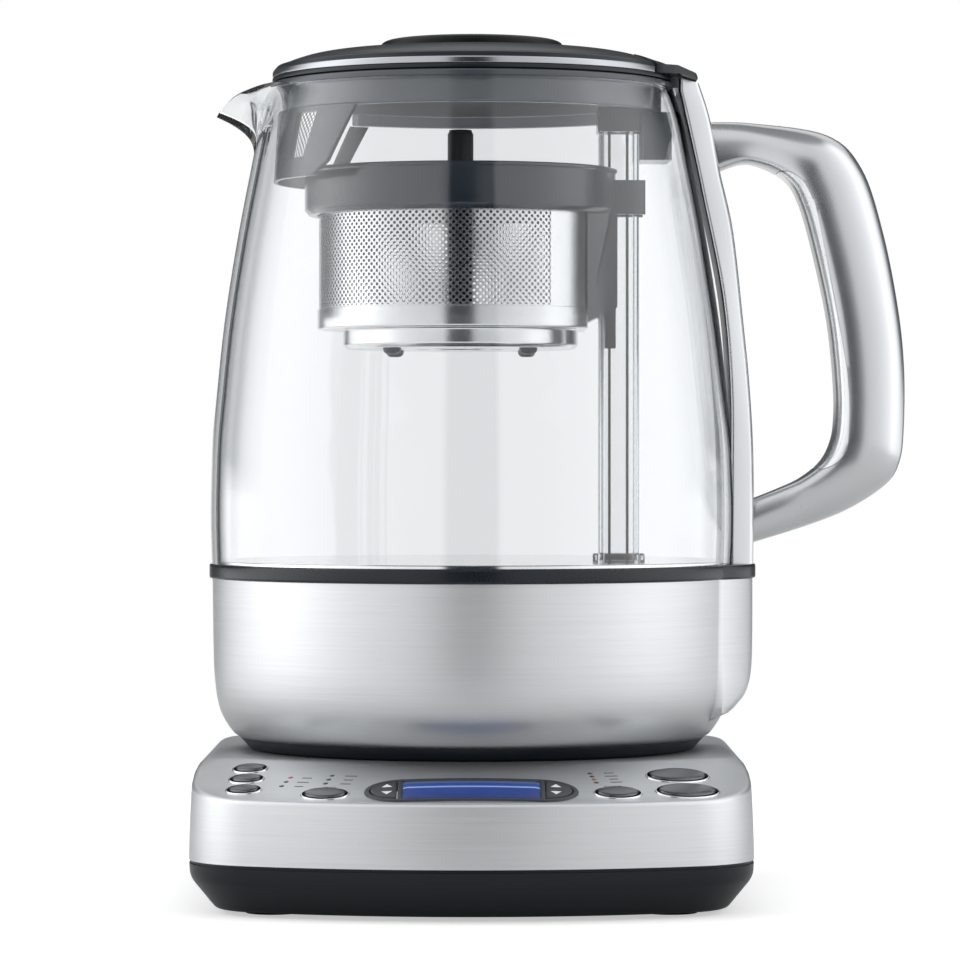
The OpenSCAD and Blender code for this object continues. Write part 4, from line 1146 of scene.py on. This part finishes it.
SPOUT_LIP = spline([(70.2, 228.8, 60), (70.2, 228.8, 34), (70.3, 229.1, 27), (70.9, 229.9, 21.5), (72.6, 230.0, 16.5),
                    (75.6, 229.4, 11.8), (79.6, 227.9, 6.86), (83.7, 225.5, 4.25), (87.0, 222.4, 2.3),
                    (88.7, 220.1, 0.8), (88.9, 219.6, 0)], 6)
SPOUT_INNER_LIP = spline([(67.2, 228.8, 60), (67.2, 228.8, 33), (67.35, 229.1, 26), (68.2, 229.8, 20),
                          (70.0, 229.9, 15.2), (73.0, 229.3, 10), (76.8, 227.9, 5.4), (80.8, 225.7, 3.0),
                          (84.0, 223.0, 1.5), (85.9, 221.4, 0.5), (86.2, 221.1, 0)], 6)
SPOUT_ANGLES = [0, 0.4, 0.8, 1.25, 1.75, 2.3, 2.9, 3.5, 4.25, 5.1, 6, 7, 8.2, 9.5, 11, 12.6, 14.4, 16.4, 18.6, 21,
                23.5, 26, 28.5, 31, 34, 37]


def spout_rows(lip, inset, flare_z, shares):
    """Rows of the glass from its foot to its lip, drawn in by inset."""
    def row(share):
        def place(angle):
            off = abs((angle + 360) % 360 - 180)
            lip_r, lip_z = along(lip, off, 0, 2), along(lip, off, 1, 2)
            z = mix(BAND_TOP + 0.05, lip_z, share)
            plain = along(GLASS_SIDE, z) - inset
            rise = max(0.0, 1 - (lip_z - z) / flare_z)
            reach = lip_r - (along(GLASS_SIDE, lip_z) - inset)
            return plain + reach * rise ** 2.5, z
        return place
    return [row(s) for s in shares]


class TEA_OT_glass(bpy.types.Operator):
    """Builds the jug's glass wall, drawn out at its lip into the pouring spout"""
    bl_idname = "tea.glass"
    bl_label = "Glass"

    def execute(self, context):
        wall = sizes().glass_wall / MM
        shares = [i * 0.04 for i in range(23)] + [0.9 + 0.1 * i / 18 for i in range(18)] + [1.0]
        outer = spout_rows(SPOUT_LIP, 0.0, 15.0, shares)
        inner = spout_rows(SPOUT_INNER_LIP, wall, 14.0, shares)

        def crown(angle):
            (r0, z0), (r1, z1) = outer[-1](angle), inner[-1](angle)
            return (r0 + r1) / 2, max(z0, z1) + 0.45
        form = field(Form(), around(180.0, SPOUT_ANGLES), outer + [crown] + inner[::-1])
        make("glass_wall", form, JUG, "jug", "clear_glass", "jug_glass", sharp=60)
        return {"FINISHED"}


HANDLE_OUTER = [(82.5, 218), (98, 217.5), (123.5, 213.4), (135.7, 201.8), (143.2, 179.5), (148.5, 152.7),
                (150.6, 131.4), (150.4, 110.1), (148.9, 99.4), (144.3, 91.9), (131.5, 83.4), (115.4, 77), (94, 70.4)]
HANDLE_INNER = [(84.5, 200), (96, 203.3), (108.5, 198), (114.3, 188.5), (119.5, 169.5), (124, 147.4), (126.1, 126.1),
                (126.1, 113.3), (124.6, 105.8), (121, 99.4), (114.2, 94), (107, 90.6), (97, 86.6)]
HANDLE_WIDTH = [7, 8.4, 12.5, 13.5, 13.5, 13.5, 13.5, 13.5, 13.2, 12.6, 11, 8.8, 7]
LINER_REGION = [(106.4, 200.1), (110.2, 199.9), (114.5, 196.8), (117.6, 191.2), (119.8, 184), (129.7, 131.3),
                (130.2, 107.3), (129, 102.6), (125.5, 98.9), (121.5, 97.2), (108, 100), (95, 190)]
SPINE_OUTER = spline([(78.6, 230.7), (82.4, 218.7), (86, 200), (90.5, 179.5), (94.1, 147.4), (96.2, 126.1), (97.6, 100),
                      (97.5, BAND_TOP)], 6)
SPINE_INNER = spline([(89, BAND_TOP), (89.2, 94), (89, 126), (86.2, 158), (79.5, 192), (74.2, 216.8), (71.5, 228)], 5)


def soft_sign(v, squareness=0.8):
    return math.copysign(abs(v) ** squareness, v)


def handle_form():
    outer, inner = spline(HANDLE_OUTER, 8), spline(HANDLE_INNER, 8)
    width = spline([(w, 0) for w in HANDLE_WIDTH], 8)
    count, shift = 56, 0.42                            # the section is widest nearer the inside of the grip
    rings = []
    for a, b, w in zip(outer, inner, width):
        middle, half = (a + b) / 2, (a - b) / 2
        ring = []
        for j in range(count):
            turn = 2 * math.pi * j / count
            across = soft_sign(math.cos(turn))
            p = middle + half * (across - shift * (1 - across * across))
            ring.append((p.x, w.x * soft_sign(math.sin(turn)), p.y))
        rings.append(ring)
    return Form().skin(rings, closed=False)


def grown(outline, by):
    """The outline moved outwards, away from its middle."""
    middle = sum((Vector(p) for p in outline), Vector((0, 0))) / len(outline)
    return [Vector(p) + (Vector(p) - middle).normalized() * by for p in outline]


class TEA_OT_handle(bpy.types.Operator):
    """Builds the cast handle, the liner inside its grip and the metal spine behind the glass"""
    bl_idname = "tea.handle"
    bl_label = "Handle"

    def execute(self, context):
        region = spline(LINER_REGION[:-2], 4) + [Vector(p) for p in LINER_REGION[-2:]]
        handle = build("cast_handle", handle_form(), JUG, "cast_metal")
        carve(handle, JUG, [Form().prism(grown(region, 0.2), -30, 30, "y")])
        fit(handle, "jug", "cast_metal", "handle")
        # The liner takes the paler metal: painted highlight.
        liner = build("grip_liner", handle_form(), JUG, "painted_light_liner_metal")
        carve(liner, JUG, [Form().prism(region, -30, 30, "y")], "INTERSECT")
        fit(liner, "jug", "cast_metal", "handle_liner")
        soft = sizes().spine_round / MM
        rings, steps, spine_top = [], 60, 230.7
        for i in range(steps + 1):
            z = mix(BAND_TOP, spine_top, i / steps)
            low = Vector((along(SPINE_INNER, z), z + (1.7 if i == steps else 0)))
            high = Vector((along(SPINE_OUTER, z), z))
            wide = (high - low).length
            section = rounded([(0, -14.5, 1.2), (wide, -11.2, soft), (wide, 11.2, soft), (0, 14.5, 1.2)], 6)
            rings.append([(*low.lerp(high, p.x / wide), p.y) for p in section])
        rings = [[(x, y, z) for x, z, y in ring] for ring in rings]
        spine = build("metal_spine", Form().skin(rings, closed=False), JUG, "cast_metal")
        glass = [(0, 60)] + [(r + 0.25, z) for r, z in GLASS_SIDE] + [(70.4, 236), (0, 236)]
        carve(spine, JUG, [Form().turned(glass)])
        # The spine's faces towards the glass are painted charcoal: painted shade between the spine and the glass.
        repaint(spine, "charcoal_plastic", lambda r, z, normal: normal.x < -0.5)
        fit(spine, "jug", "cast_metal", "spine_cover")
        return {"FINISHED"}


def square(width, corner):
    h = width / 2
    return rounded([(-h, -h, corner), (h, -h, corner), (h, h, corner), (-h, h, corner)], 4)


POST_X = 51.0


class TEA_OT_collar_and_post(bpy.types.Operator):
    """Builds the grey collar inside the rim, the clear guide post and the perforated spout filter"""
    bl_idname = "tea.collar_and_post"
    bl_label = "Collar, post and filter"

    def collar(self):
        ring = Form().turned(rounded([(62.5, 220, 0.5), (66, 220, 0.8), (66, 228.85), (70, 228.85, 0.3), (70, 231, 0.6),
                                      (62.5, 231, 0.6)]))
        collar = build("rim_collar", ring, JUG, "collar_grey")
        blocks = []
        for x0, x1, half, low, high in ((43.6, 64.6, 9, 214, 222.5),          # the cap over the post
                                        (58.2, 69, 11, 204, 220.5),           # the block in front of the spine
                                        (65, 72.4, 13, 228.9, 232.4)):        # the bridge over the rim
            blocks.append(Form().prism(rounded([(*corner, 1.2) for corner in oblong(x0, x1, half)]), low, high))
        carve(collar, JUG, blocks, "UNION")
        inside = [(r - 3.1, z) for r, z in GLASS_SIDE if z > 200]
        trim = [(0, 200)] + inside + [(67.1, 228.8), (76, 228.85), (76, 240), (0, 240)]
        carve(collar, JUG, [Form().turned(trim)], "INTERSECT")
        clear_lid = [(0, 231.05), (69.9, 231.05), (69.9, 236), (0, 236)]
        slot = [(POST_X - 4, 213), (POST_X + 4, 213)]
        room = Form().prism(slot + arc((POST_X, 217.9), 4.0, 0, 180, 24), -3.4, 3.4, "y")
        room.prism(arc((POST_X, 217.9), 1.25, 0, 345, 23), -7, 20, "y")
        # The gap in the collar's far side lets light through the filter's window
        light_gap = Form().prism([(-5, 5), (-73.1, 16.6), (-64.3, 38.6), (-49.6, 56.3)], 212, 224.2)
        carve(collar, JUG, [Form().turned(clear_lid), light_gap, room])
        # The collar's inner wall is painted a paler grey: painted light where it lies in shade.
        repaint(collar, "painted_light_grey", lambda r, z, normal: 62 < r < 63 and z < 231)
        return fit(collar, "jug", "grey_plastic", "top_collar")

    def post(self):
        form = Form()
        outer = [square(14, 1.6), square(10.6, 0.8)]
        loops = [(0, 58), (0, 214), (1, 214), (1, 58)]
        rings = [[(POST_X + x, y, z) for x, y in outer[which]] for which, z in loops]
        form.skin(rings)
        levels = ((1, 65.55), (1, 67.4), (0.96, 67.9))
        foot = [[(POST_X + x * k, y * k, z) for x, y in square(18, 3)] for k, z in levels]
        hole = [[(POST_X + x, y, z) for x, y in square(14.1, 1.6)] for z in (67.9, 65.55)]
        form.skin(foot)
        form.faces = form.faces[:-len(foot[0])]
        form.finish_of = form.finish_of[:-len(foot[0])]
        start = len(form.points)
        count = len(foot[0])
        form.points += [p for ring in hole for p in ring]
        walls = ((start - count, start), (start, start + count), (start + count, start - 3 * count))
        for here, there in walls:
            for j in range(count):
                k = (j + 1) % count
                form.faces.append((here + j, here + k, there + k, there + j))
                form.finish_of.append(0)
        return make("clear_post", form, JUG, "jug", "clear_plastic", "guide_post")

    def filter(self):
        """A plate inside the spout with a perforated leaning window, and a wide plain one on its far side."""
        form = Form()
        half, rows, low, high, lean = 43, 14, 196.5, 220.0, 0.28
        foot_r, top_r, plate, corner_r = 69.2, 67.5, 1.5, 3.0
        sill = 4                                       # rows of the plate below both windows
        near, far = (24, 32), (-38, -10)               # the windows' sides, in columns of one degree at the foot
        points = []
        for j in range(rows + 1):
            t = j / rows
            for i in range(-half, half + 1):
                corner = corner_r * max(0.0, 1 - t * rows / 3) * max(0.0, abs(i) - half + 4) / 4
                points.append((*polar(mix(foot_r, top_r, t), 180 + i * (1 + lean * t)), mix(low, high, t) + corner))
        across = 2 * half + 1
        faces = []
        for j in range(rows):
            for i in range(across - 1):
                a = i - half + 0.5
                window = near[0] <= a <= near[1] and j < rows - 1 or far[0] <= a <= far[1]
                if j < sill or not window:
                    k = j * across + i
                    faces.append((k, k + 1, k + across + 1, k + across))
        form.add(points, faces)
        sheet = build("filter_frame", form, JUG, "grey_plastic")
        thick = sheet.modifiers.new("thicken", "SOLIDIFY")
        thick.thickness = plate * MM
        thick.offset = -1
        settle(sheet)
        pitch = sizes().filter_pitch
        radius = 68.3 * MM
        first = 5.8                                    # the lowest holes, above the plate's lower edge
        foot = 1 + lean * first / (high - low)         # the windows have leaned this far there
        start = math.pi + math.radians(sum(near) / 2) * foot - 2.75 * pitch / radius
        holes = perforated("filter_holes", pitch * 0.68, 0.0002, {
            "Columns": 5, "Rows": 18, "Pitch": pitch, "Radius": radius, "Start": start, "Bottom": (low + first) * MM,
            "Flare": 0.072, "Spread": lean / foot / (high - low) / MM, "Spread From": math.pi, "Centre": JUG,
            "Material": finish("grey_plastic")})
        return fit(join(sheet, holes), "jug", "grey_plastic", "spout_filter")

    def execute(self, context):
        self.collar()
        self.post()
        self.filter()
        return {"FINISHED"}


# ---- basket -------------------------------------------------------------------------------
BASKET = JUG + Vector((-4 * MM, 0, 0))
DRUM_FLAT = 43.6
DRUM_R = 49.3


def ring_sector(form, profile, from_angle, to_angle, steps=60):
    """A closed section turned through part of a circle, with closed ends."""
    rings = []
    for i in range(steps + 1):
        rings.append([(*polar(r, mix(from_angle, to_angle, i / steps)), z) for r, z in profile])
    return form.skin(rings, closed=False)


class TEA_OT_basket(bpy.types.Operator):
    """Builds the perforated steel basket with its collar, bracket and base"""
    bl_idname = "tea.basket"
    bl_label = "Basket"

    def drum(self):
        pitch = sizes().hole_pitch
        long, high, bottom = 225.4 * MM, 36 * MM, 151.9 * MM       # the part of the wall that has holes
        columns = int(long / pitch)
        start = math.pi - (columns / 2 + 0.25) * pitch / (DRUM_R * MM)
        wall = perforated("drum_holes", sizes().hole_width, 0.0005, {
            "Columns": columns, "Rows": int(high / (pitch / 2)), "Pitch": pitch, "Radius": DRUM_R * MM,
            "Start": start, "Bottom": bottom, "Flare": 0.0, "Spread": 0.0, "Spread From": 0.0, "Centre": BASKET,
            "Material": finish("basket_steel")})
        half = 180 - math.degrees(math.pi - start) + 1.6
        edge = math.degrees(math.acos(DRUM_FLAT / DRUM_R))
        form = Form()
        for side in (-1, 1):
            ring_sector(form, [(48.75, 150), (49.25, 150), (49.25, 188.5), (48.75, 188.5)], side * edge, side * half, 8)
        y = DRUM_R * math.sin(math.radians(edge))
        form.prism(oblong(DRUM_FLAT - 0.5, DRUM_FLAT, y), 146.2, 189)
        flange = [(48.9, 185.5), (49.45, 185.5), (49.45, 189), (52, 189), (52, 189.5, 0.2), (48.9, 189.5)]
        ring_sector(form, rounded(flange, 2), edge, 360 - edge, 120)
        ring_sector(form, [(48.9, 146.3), (49.32, 146.3), (49.32, 153), (48.9, 153)], edge, 360 - edge, 120)
        sheet = build("steel_drum", form, BASKET, "basket_steel")
        return fit(join(sheet, wall), "basket", "basket_steel", "basket_mesh")

    def collar(self):
        ring = Form().turned(rounded([(49.9, 185.0), (52.8, 185.0, 0.8), (54.3, 186.8, 1.2), (54.3, 199.3, 0.3),
                                      (54.9, 199.8, 0.25), (54.9, 200.6, 0.35), (54.3, 201, 0.3), (52.3, 201, 0.6),
                                      (52.3, 188.9), (49.9, 188.9)]))
        collar = build("basket_ring", ring, BASKET, "grey_plastic")
        plan = [(DRUM_FLAT, -24), (DRUM_FLAT, 24), (54.2, 13.4, 1), (54.2, -13.4, 1)]
        bracket = Form().prism(rounded(plan), 147.6, 188.9)
        lug = Form().prism(rounded([(50, -11), (64, -11, 2), (64, 11, 2), (50, 11)]), 185.2, 197)
        pocket = Form().prism(oblong(45.7, 52.3, 9.2), 186.5, 200.6)
        carve(collar, BASKET, [bracket, lug, pocket], "UNION")
        groove = Form().prism(oblong(47.5, 90, 7.5), 100, 220)
        slope = Form().prism([(30, 140), (66, 140), (66, 158), (54.3, 153), (43.5, 147.5)], -40, 40, "y")
        carve(collar, BASKET, [groove, slope])
        return fit(collar, "basket", "grey_plastic", "basket_collar")

    def base(self):
        outline = rounded([(0, 138.7), (39.5, 138.7, 1), (40.9, 140.1, 1), (40.9, 145.4, 0.8), (49.9, 145.4, 0.8),
                           (49.9, 152.6, 0.2), (49.35, 152.6), (49.35, 146.2), (40.1, 146.2, 1), (40.1, 139.5, 1),
                           (0, 139.5)], 3)
        base = build("basket_pan", Form().turned(outline), BASKET, "basket_steel")
        cuts = Form().prism(oblong(DRUM_FLAT, 90, 60), 100, 200)
        cuts.turned(rod(7, 130, 145), flats=48)
        for i in range(6):
            cuts.turned(rod(2.6, 130, 145), polar(13, 60 * i), 32)
        carve(base, BASKET, [cuts])
        feet = Form()
        foot = rounded([(0, 136.5), (1.9, 136.55, 0.8), (2.9, 137.3, 0.8), (3.2, 138.8), (0, 138.8)])
        for i in range(4):
            feet.turned(foot, polar(33, 45 + 90 * i), 32)
        pan = join(base, build("pan_feet", feet, BASKET, "charcoal_plastic"))
        return fit(pan, "basket", "basket_steel", "basket_base")

    def execute(self, context):
        self.drum()
        self.collar()
        self.base()
        return {"FINISHED"}


class TEA_OT_basket_lid(bpy.types.Operator):
    """Builds the basket's black lid with its stem"""
    bl_idname = "tea.basket_lid"
    bl_label = "Basket lid"

    def execute(self, context):
        outline = rounded([(0, 153), (4.2, 153, 0.8), (4.5, 189.55), (51.9, 189.55, 0.4), (51.9, 191.15, 0.6),
                           (6.5, 191.15, 1.5), (4.5, 193.5, 1.5), (4.5, 213.6, 0.8), (4, 214.2, 0.3),
                           (4, 215, 0.6), (0, 215)])
        lid = build("strainer_lid", Form().turned(outline), BASKET, "black_plastic")
        carve(lid, BASKET, [Form().prism(oblong(45.3, 90, 9.6), 150, 210)])
        fit(lid, "basket_lid", "black_plastic", "basket_lid")
        return {"FINISHED"}


# ---- lid ----------------------------------------------------------------------------------
DOME_SIDE = spline([(66, 237.4), (61.8, 239), (56, 240.6), (48, 241.6), (32, 242.1), (0, 242.2)], 6)
TAB_PLAN = [(56, -22), (62.6, -30.2), (70, -24), (78.5, -13.5), (78.5, 13.5), (70, 24), (62.6, 30.2), (56, 22)]


class TEA_OT_lid(bpy.types.Operator):
    """Builds the lid: its dark ring, bright trim, dark metal dome, black knob and thumb tab"""
    bl_idname = "tea.lid"
    bl_label = "Lid"

    def execute(self, context):
        ring = Form().turned(rounded([(0, 231), (57, 231), (57, 223.5, 0.5), (58.2, 223.5, 0.5), (61.2, 226.3, 0.8),
                                      (61.2, 231), (66, 231), (66, 231.5), (69.5, 231.5, 0.2), (69.5, 233, 0.6),
                                      (0, 233)]))
        lid_ring = build("lid_ring", ring, JUG, "charcoal_plastic")
        # The ring's inner, lower faces are painted a paler grey: painted reflected light.
        repaint(lid_ring, "painted_light_grey", lambda r, z, normal: r < 61.5 and z < 230.9)
        fit(lid_ring, "lid", "charcoal_plastic", "lid_base")
        # The trim takes the darker copy of the polished steel: painted shade.
        trim = build("bright_trim", Form().turned(
            rounded([(66.05, 233.02), (69.4, 233.02, 0.3), (69.4, 235, 1.2), (67.8, 236.9, 1.4), (66.05, 237.4)], 5)),
            JUG, "painted_shade_trim_steel")
        carve(trim, JUG, [Form().prism(TAB_PLAN, 232, 245)])
        repaint(trim, "dome_steel", lambda r, z, normal: z > 235.2)
        fit(trim, "lid", "polished_steel", "lid_trim")
        outside = [(r, z) for r, z in DOME_SIDE]
        inside = [(r - 1.2 if r > 60 else r, z - 1.2) for r, z in reversed(DOME_SIDE)]
        dome = Form().turned([(66, 233)] + outside + inside + [(64.8, 233)])
        make("dark_dome", dome, JUG, "lid", "dome_steel", "lid_dome")
        knob = Form().turned(rounded([(0, 233), (4, 233), (4, 242.35), (31, 242.2, 0.4), (31.7, 242.8, 0.5),
                                      (31.7, 245.1, 1.6), (29.5, 246.15, 5), (0, 246.5)], 5))
        fit(build("black_knob", knob, JUG, "knob_black"), "lid", "black_plastic", "lid_knob")
        plan = rounded([(56, -22), (62.6, -30, 4), (70, -24, 8), (78.5, -13.5, 9), (78.5, 13.5, 9), (70, 24, 8),
                        (62.6, 30, 4), (56, 22)], 6)
        tab = build("thumb_tab", Form().prism(plan, 228, 245), JUG, "charcoal_plastic")
        side = rounded([(54, 241), (58.6, 239.8), (77.6, 233.9, 1.5), (78.5, 231.3, 0.6), (71.2, 233.3), (69.8, 233),
                        (54, 233)], 4)
        flush = [(50, 228), (85, 228), (85, 236), (69.8, 236), (68.2, 237.2), (66, 237.9), (61.8, 239.4), (56, 241),
                 (50, 241.9)]
        carve(tab, JUG, [Form().prism(side, -40, 40, "y"), Form().turned(flush)], "INTERSECT")
        lid_space = [(0, 225), (66.08, 225)] + [(r, z) for r, z in DOME_SIDE]
        carve(tab, JUG, [Form().turned(lid_space)])
        ease_edges(tab, sizes().edge_round / MM)
        fit(tab, "lid", "charcoal_plastic", "lid_tab")
        return {"FINISHED"}


# ---- carried-over parts and the stage -----------------------------------------------------
class TEA_OT_inner_parts(bpy.types.Operator):
    """Gives every CAD part that stays in view its finish"""
    bl_idname = "tea.inner_parts"
    bl_label = "Inner parts"

    def execute(self, context):
        slot_of = {row["node"]: row["material_slot"] for row in frame["record"]["subparts"]}
        for name, node in frame["nodes"].items():
            if node.hide_render:
                continue
            slot = slot_of[name]
            paint = finish("lamp_off" if slot == "lamp_lens" else slot)
            node.data.materials.clear()
            node.data.materials.append(paint)
        return {"FINISHED"}


class TEA_OT_stage(bpy.types.Operator):
    """Sets the pale floor, the soft studio light and the camera"""
    bl_idname = "tea.stage"
    bl_label = "Stage"

    def floor(self):
        half = 0.7
        mesh = bpy.data.meshes.new("floor")
        mesh.from_pydata([(x, y, 0) for x, y in oblong(-half, half, half)], [], [(0, 1, 2, 3)])
        floor = link("floor", mesh)
        f = Finish("floor_white", Base_Color=(0.8, 0.8, 0.8), Roughness=0.6)
        x, y, _ = f.from_axis()
        ray = f.add("ShaderNodeLightPath")
        # Painted reflection: a dark strip on the floor behind the object, seen only by glossy rays.
        far = (x * x + y * y).ease(0.16, 0.3)
        strip = (abs(x.math("ARCTAN2", -y)) < 0.2) * far * Value(f, ray.outputs["Is Glossy Ray"])
        f.set(Base_Color=f.blend(strip, (0.8, 0.8, 0.8), (0.1, 0.1, 0.1)))
        seen = Value(f, ray.outputs["Is Camera Ray"]).largest(Value(f, ray.outputs["Is Transmission Ray"]))
        f.set(Emission_Color=(1.0, 1.0, 1.0), Emission_Strength=seen * 0.5)
        mesh.materials.append(f.material)

    # The studio round the object: places from the front (0) to the back (1), and how bright each is
    LEFT_LIGHT = [(0.0, 0.95), (0.14, 1.03), (0.22, 1.12), (0.31, 1.28), (0.36, 1.5), (0.42, 1.85), (0.48, 2.15),
                  (0.58, 2.1), (0.66, 1.8), (0.75, 1.5), (0.81, 0.1), (0.9, 0.1), (0.94, 0.9)]
    RIGHT_LIGHT = [(0.0, 0.88), (0.14, 0.92), (0.21, 1.03), (0.27, 1.17), (0.33, 1.32), (0.38, 1.5), (0.43, 1.8),
                   (0.5, 1.7), (0.58, 1.5), (0.7, 1.3), (0.78, 1.0), (0.82, 0.1), (0.9, 0.1), (0.94, 0.9)]

    def sky(self):
        """White where the camera looks, and a soft studio all round: greyer from the front, bright at the sides."""
        world = bpy.data.worlds.new("studio")
        bpy.context.scene.world = world
        world.use_nodes = True
        g = Graph(world.node_tree)
        world.node_tree.nodes.clear()
        x, y, z = g.axes(g.value("ShaderNodeTexCoord", None, None, "Generated"))
        turn = abs(x.math("ARCTAN2", -y)) / math.pi        # 0 towards the camera's side, 1 behind the object
        left = g.value("ShaderNodeValToRGB", {"stops": self.LEFT_LIGHT}, {0: turn})
        right = g.value("ShaderNodeValToRGB", {"stops": self.RIGHT_LIGHT}, {0: turn})
        light = g.blend(x.ease(-0.05, 0.05), left, right)
        strip = (1 - turn.ease(0.056, 0.078)) * (1 - z.ease(0.4, 0.62))
        light = g.blend(strip, light, (0.025, 0.03, 0.035))
        behind = turn.ease(0.55, 0.75)
        light = g.blend(behind * z.ease(0.0, 0.03), light, (0.08, 0.085, 0.09))
        light = g.blend(behind * z.ease(0.5, 0.58), light, (1.0, 1.0, 1.0))
        light = g.blend(z.ease(0.87, 0.94), light, (0.1, 0.105, 0.11))
        path = g.add("ShaderNodeLightPath")
        through, gloss, matt = (Value(g, path.outputs[name]) for name in
                                ("Is Transmission Ray", "Glossy Depth", "Diffuse Depth"))
        straight = through * (1 - (gloss > 0.5)) * (1 - (matt > 0.5))
        calm = g.value("ShaderNodeVectorMath", {"operation": "MINIMUM"}, {0: light, 1: (0.86, 0.867, 0.875)})
        light = g.blend(straight, light, calm)             # so glass still shows against the white background
        light = g.blend(through * (turn > 0.87), light, (0.88, 0.885, 0.89))
        shown = g.blend(Value(g, path.outputs["Is Camera Ray"]), light, (1.0, 1.0, 1.0))
        back = g.add("ShaderNodeBackground", None, {"Color": shown, "Strength": 1.0})
        g.add("ShaderNodeOutputWorld", None, {"Surface": back.outputs[0]})

    def lamp(self, name, place, aim, size, power):
        light = bpy.data.lights.new(name, "AREA")
        light.shape = "RECTANGLE"
        light.size, light.size_y = size
        light.energy = power
        lamp = bpy.data.objects.new(name, light)
        bpy.context.scene.collection.objects.link(lamp)
        lamp.location = place
        lamp.rotation_euler = (Vector(aim) - Vector(place)).to_track_quat("-Z", "Y").to_euler()

    def camera(self):
        view = bpy.data.cameras.new("photo_camera")
        view.lens = 172.5
        view.sensor_width = 36.0
        view.clip_end = 20
        camera = bpy.data.objects.new("photo_camera", view)
        bpy.context.scene.collection.objects.link(camera)
        aside, away, eye, target = 0.0028, 1.604, 0.151, 0.1433
        camera.location = (AXIS_X + aside, AXIS_Y - away, eye)
        aim = Vector((AXIS_X + aside, AXIS_Y, target))
        camera.rotation_euler = (aim - camera.location).to_track_quat("-Z", "Y").to_euler()
        bpy.context.scene.camera = camera

    def execute(self, context):
        context.scene.view_settings.view_transform = "Standard"
        self.floor()
        self.sky()
        self.lamp("top_softbox", (0.0, -0.15, 1.3), (0, 0, 0.1), (0.9, 0.9), 0.6)
        self.camera()
        return {"FINISHED"}


PIECES = [TEA_OT_stage, TEA_OT_base_shell, TEA_OT_tray, TEA_OT_seat, TEA_OT_keys, TEA_OT_lamps, TEA_OT_display,
          TEA_OT_jug_body, TEA_OT_glass, TEA_OT_handle, TEA_OT_collar_and_post, TEA_OT_basket, TEA_OT_basket_lid,
          TEA_OT_lid, TEA_OT_inner_parts]


class TEA_PT_panel(bpy.types.Panel):
    """Lists the pieces in the sidebar"""
    bl_idname = "TEA_PT_panel"
    bl_label = "Automatic Tea Maker"
    bl_space_type = "VIEW_3D"
    bl_region_type = "UI"
    bl_category = "Tea Maker"

    def draw(self, context):
        for group in (context.scene.tea_maker_sizes, context.scene.tea_maker_colours):
            for name in group.bl_rna.properties.keys():
                if name not in ("rna_type", "name"):
                    self.layout.prop(group, name)
        for piece in PIECES:
            self.layout.operator(piece.bl_idname)


CLASSES = [TeaMakerSizes, TeaMakerColours, *PIECES, TEA_PT_panel]


def register():
    for kind in CLASSES:
        bpy.utils.register_class(kind)
    bpy.types.Scene.tea_maker_sizes = bpy.props.PointerProperty(type=TeaMakerSizes)
    bpy.types.Scene.tea_maker_colours = bpy.props.PointerProperty(type=TeaMakerColours)


def unregister():
    del bpy.types.Scene.tea_maker_sizes
    del bpy.types.Scene.tea_maker_colours
    for kind in reversed(CLASSES):
        bpy.utils.unregister_class(kind)


def main():
    register()
    for piece in PIECES:
        group, name = piece.bl_idname.split(".")
        getattr(getattr(bpy.ops, group), name)()


if __name__ == "__main__":
    main()
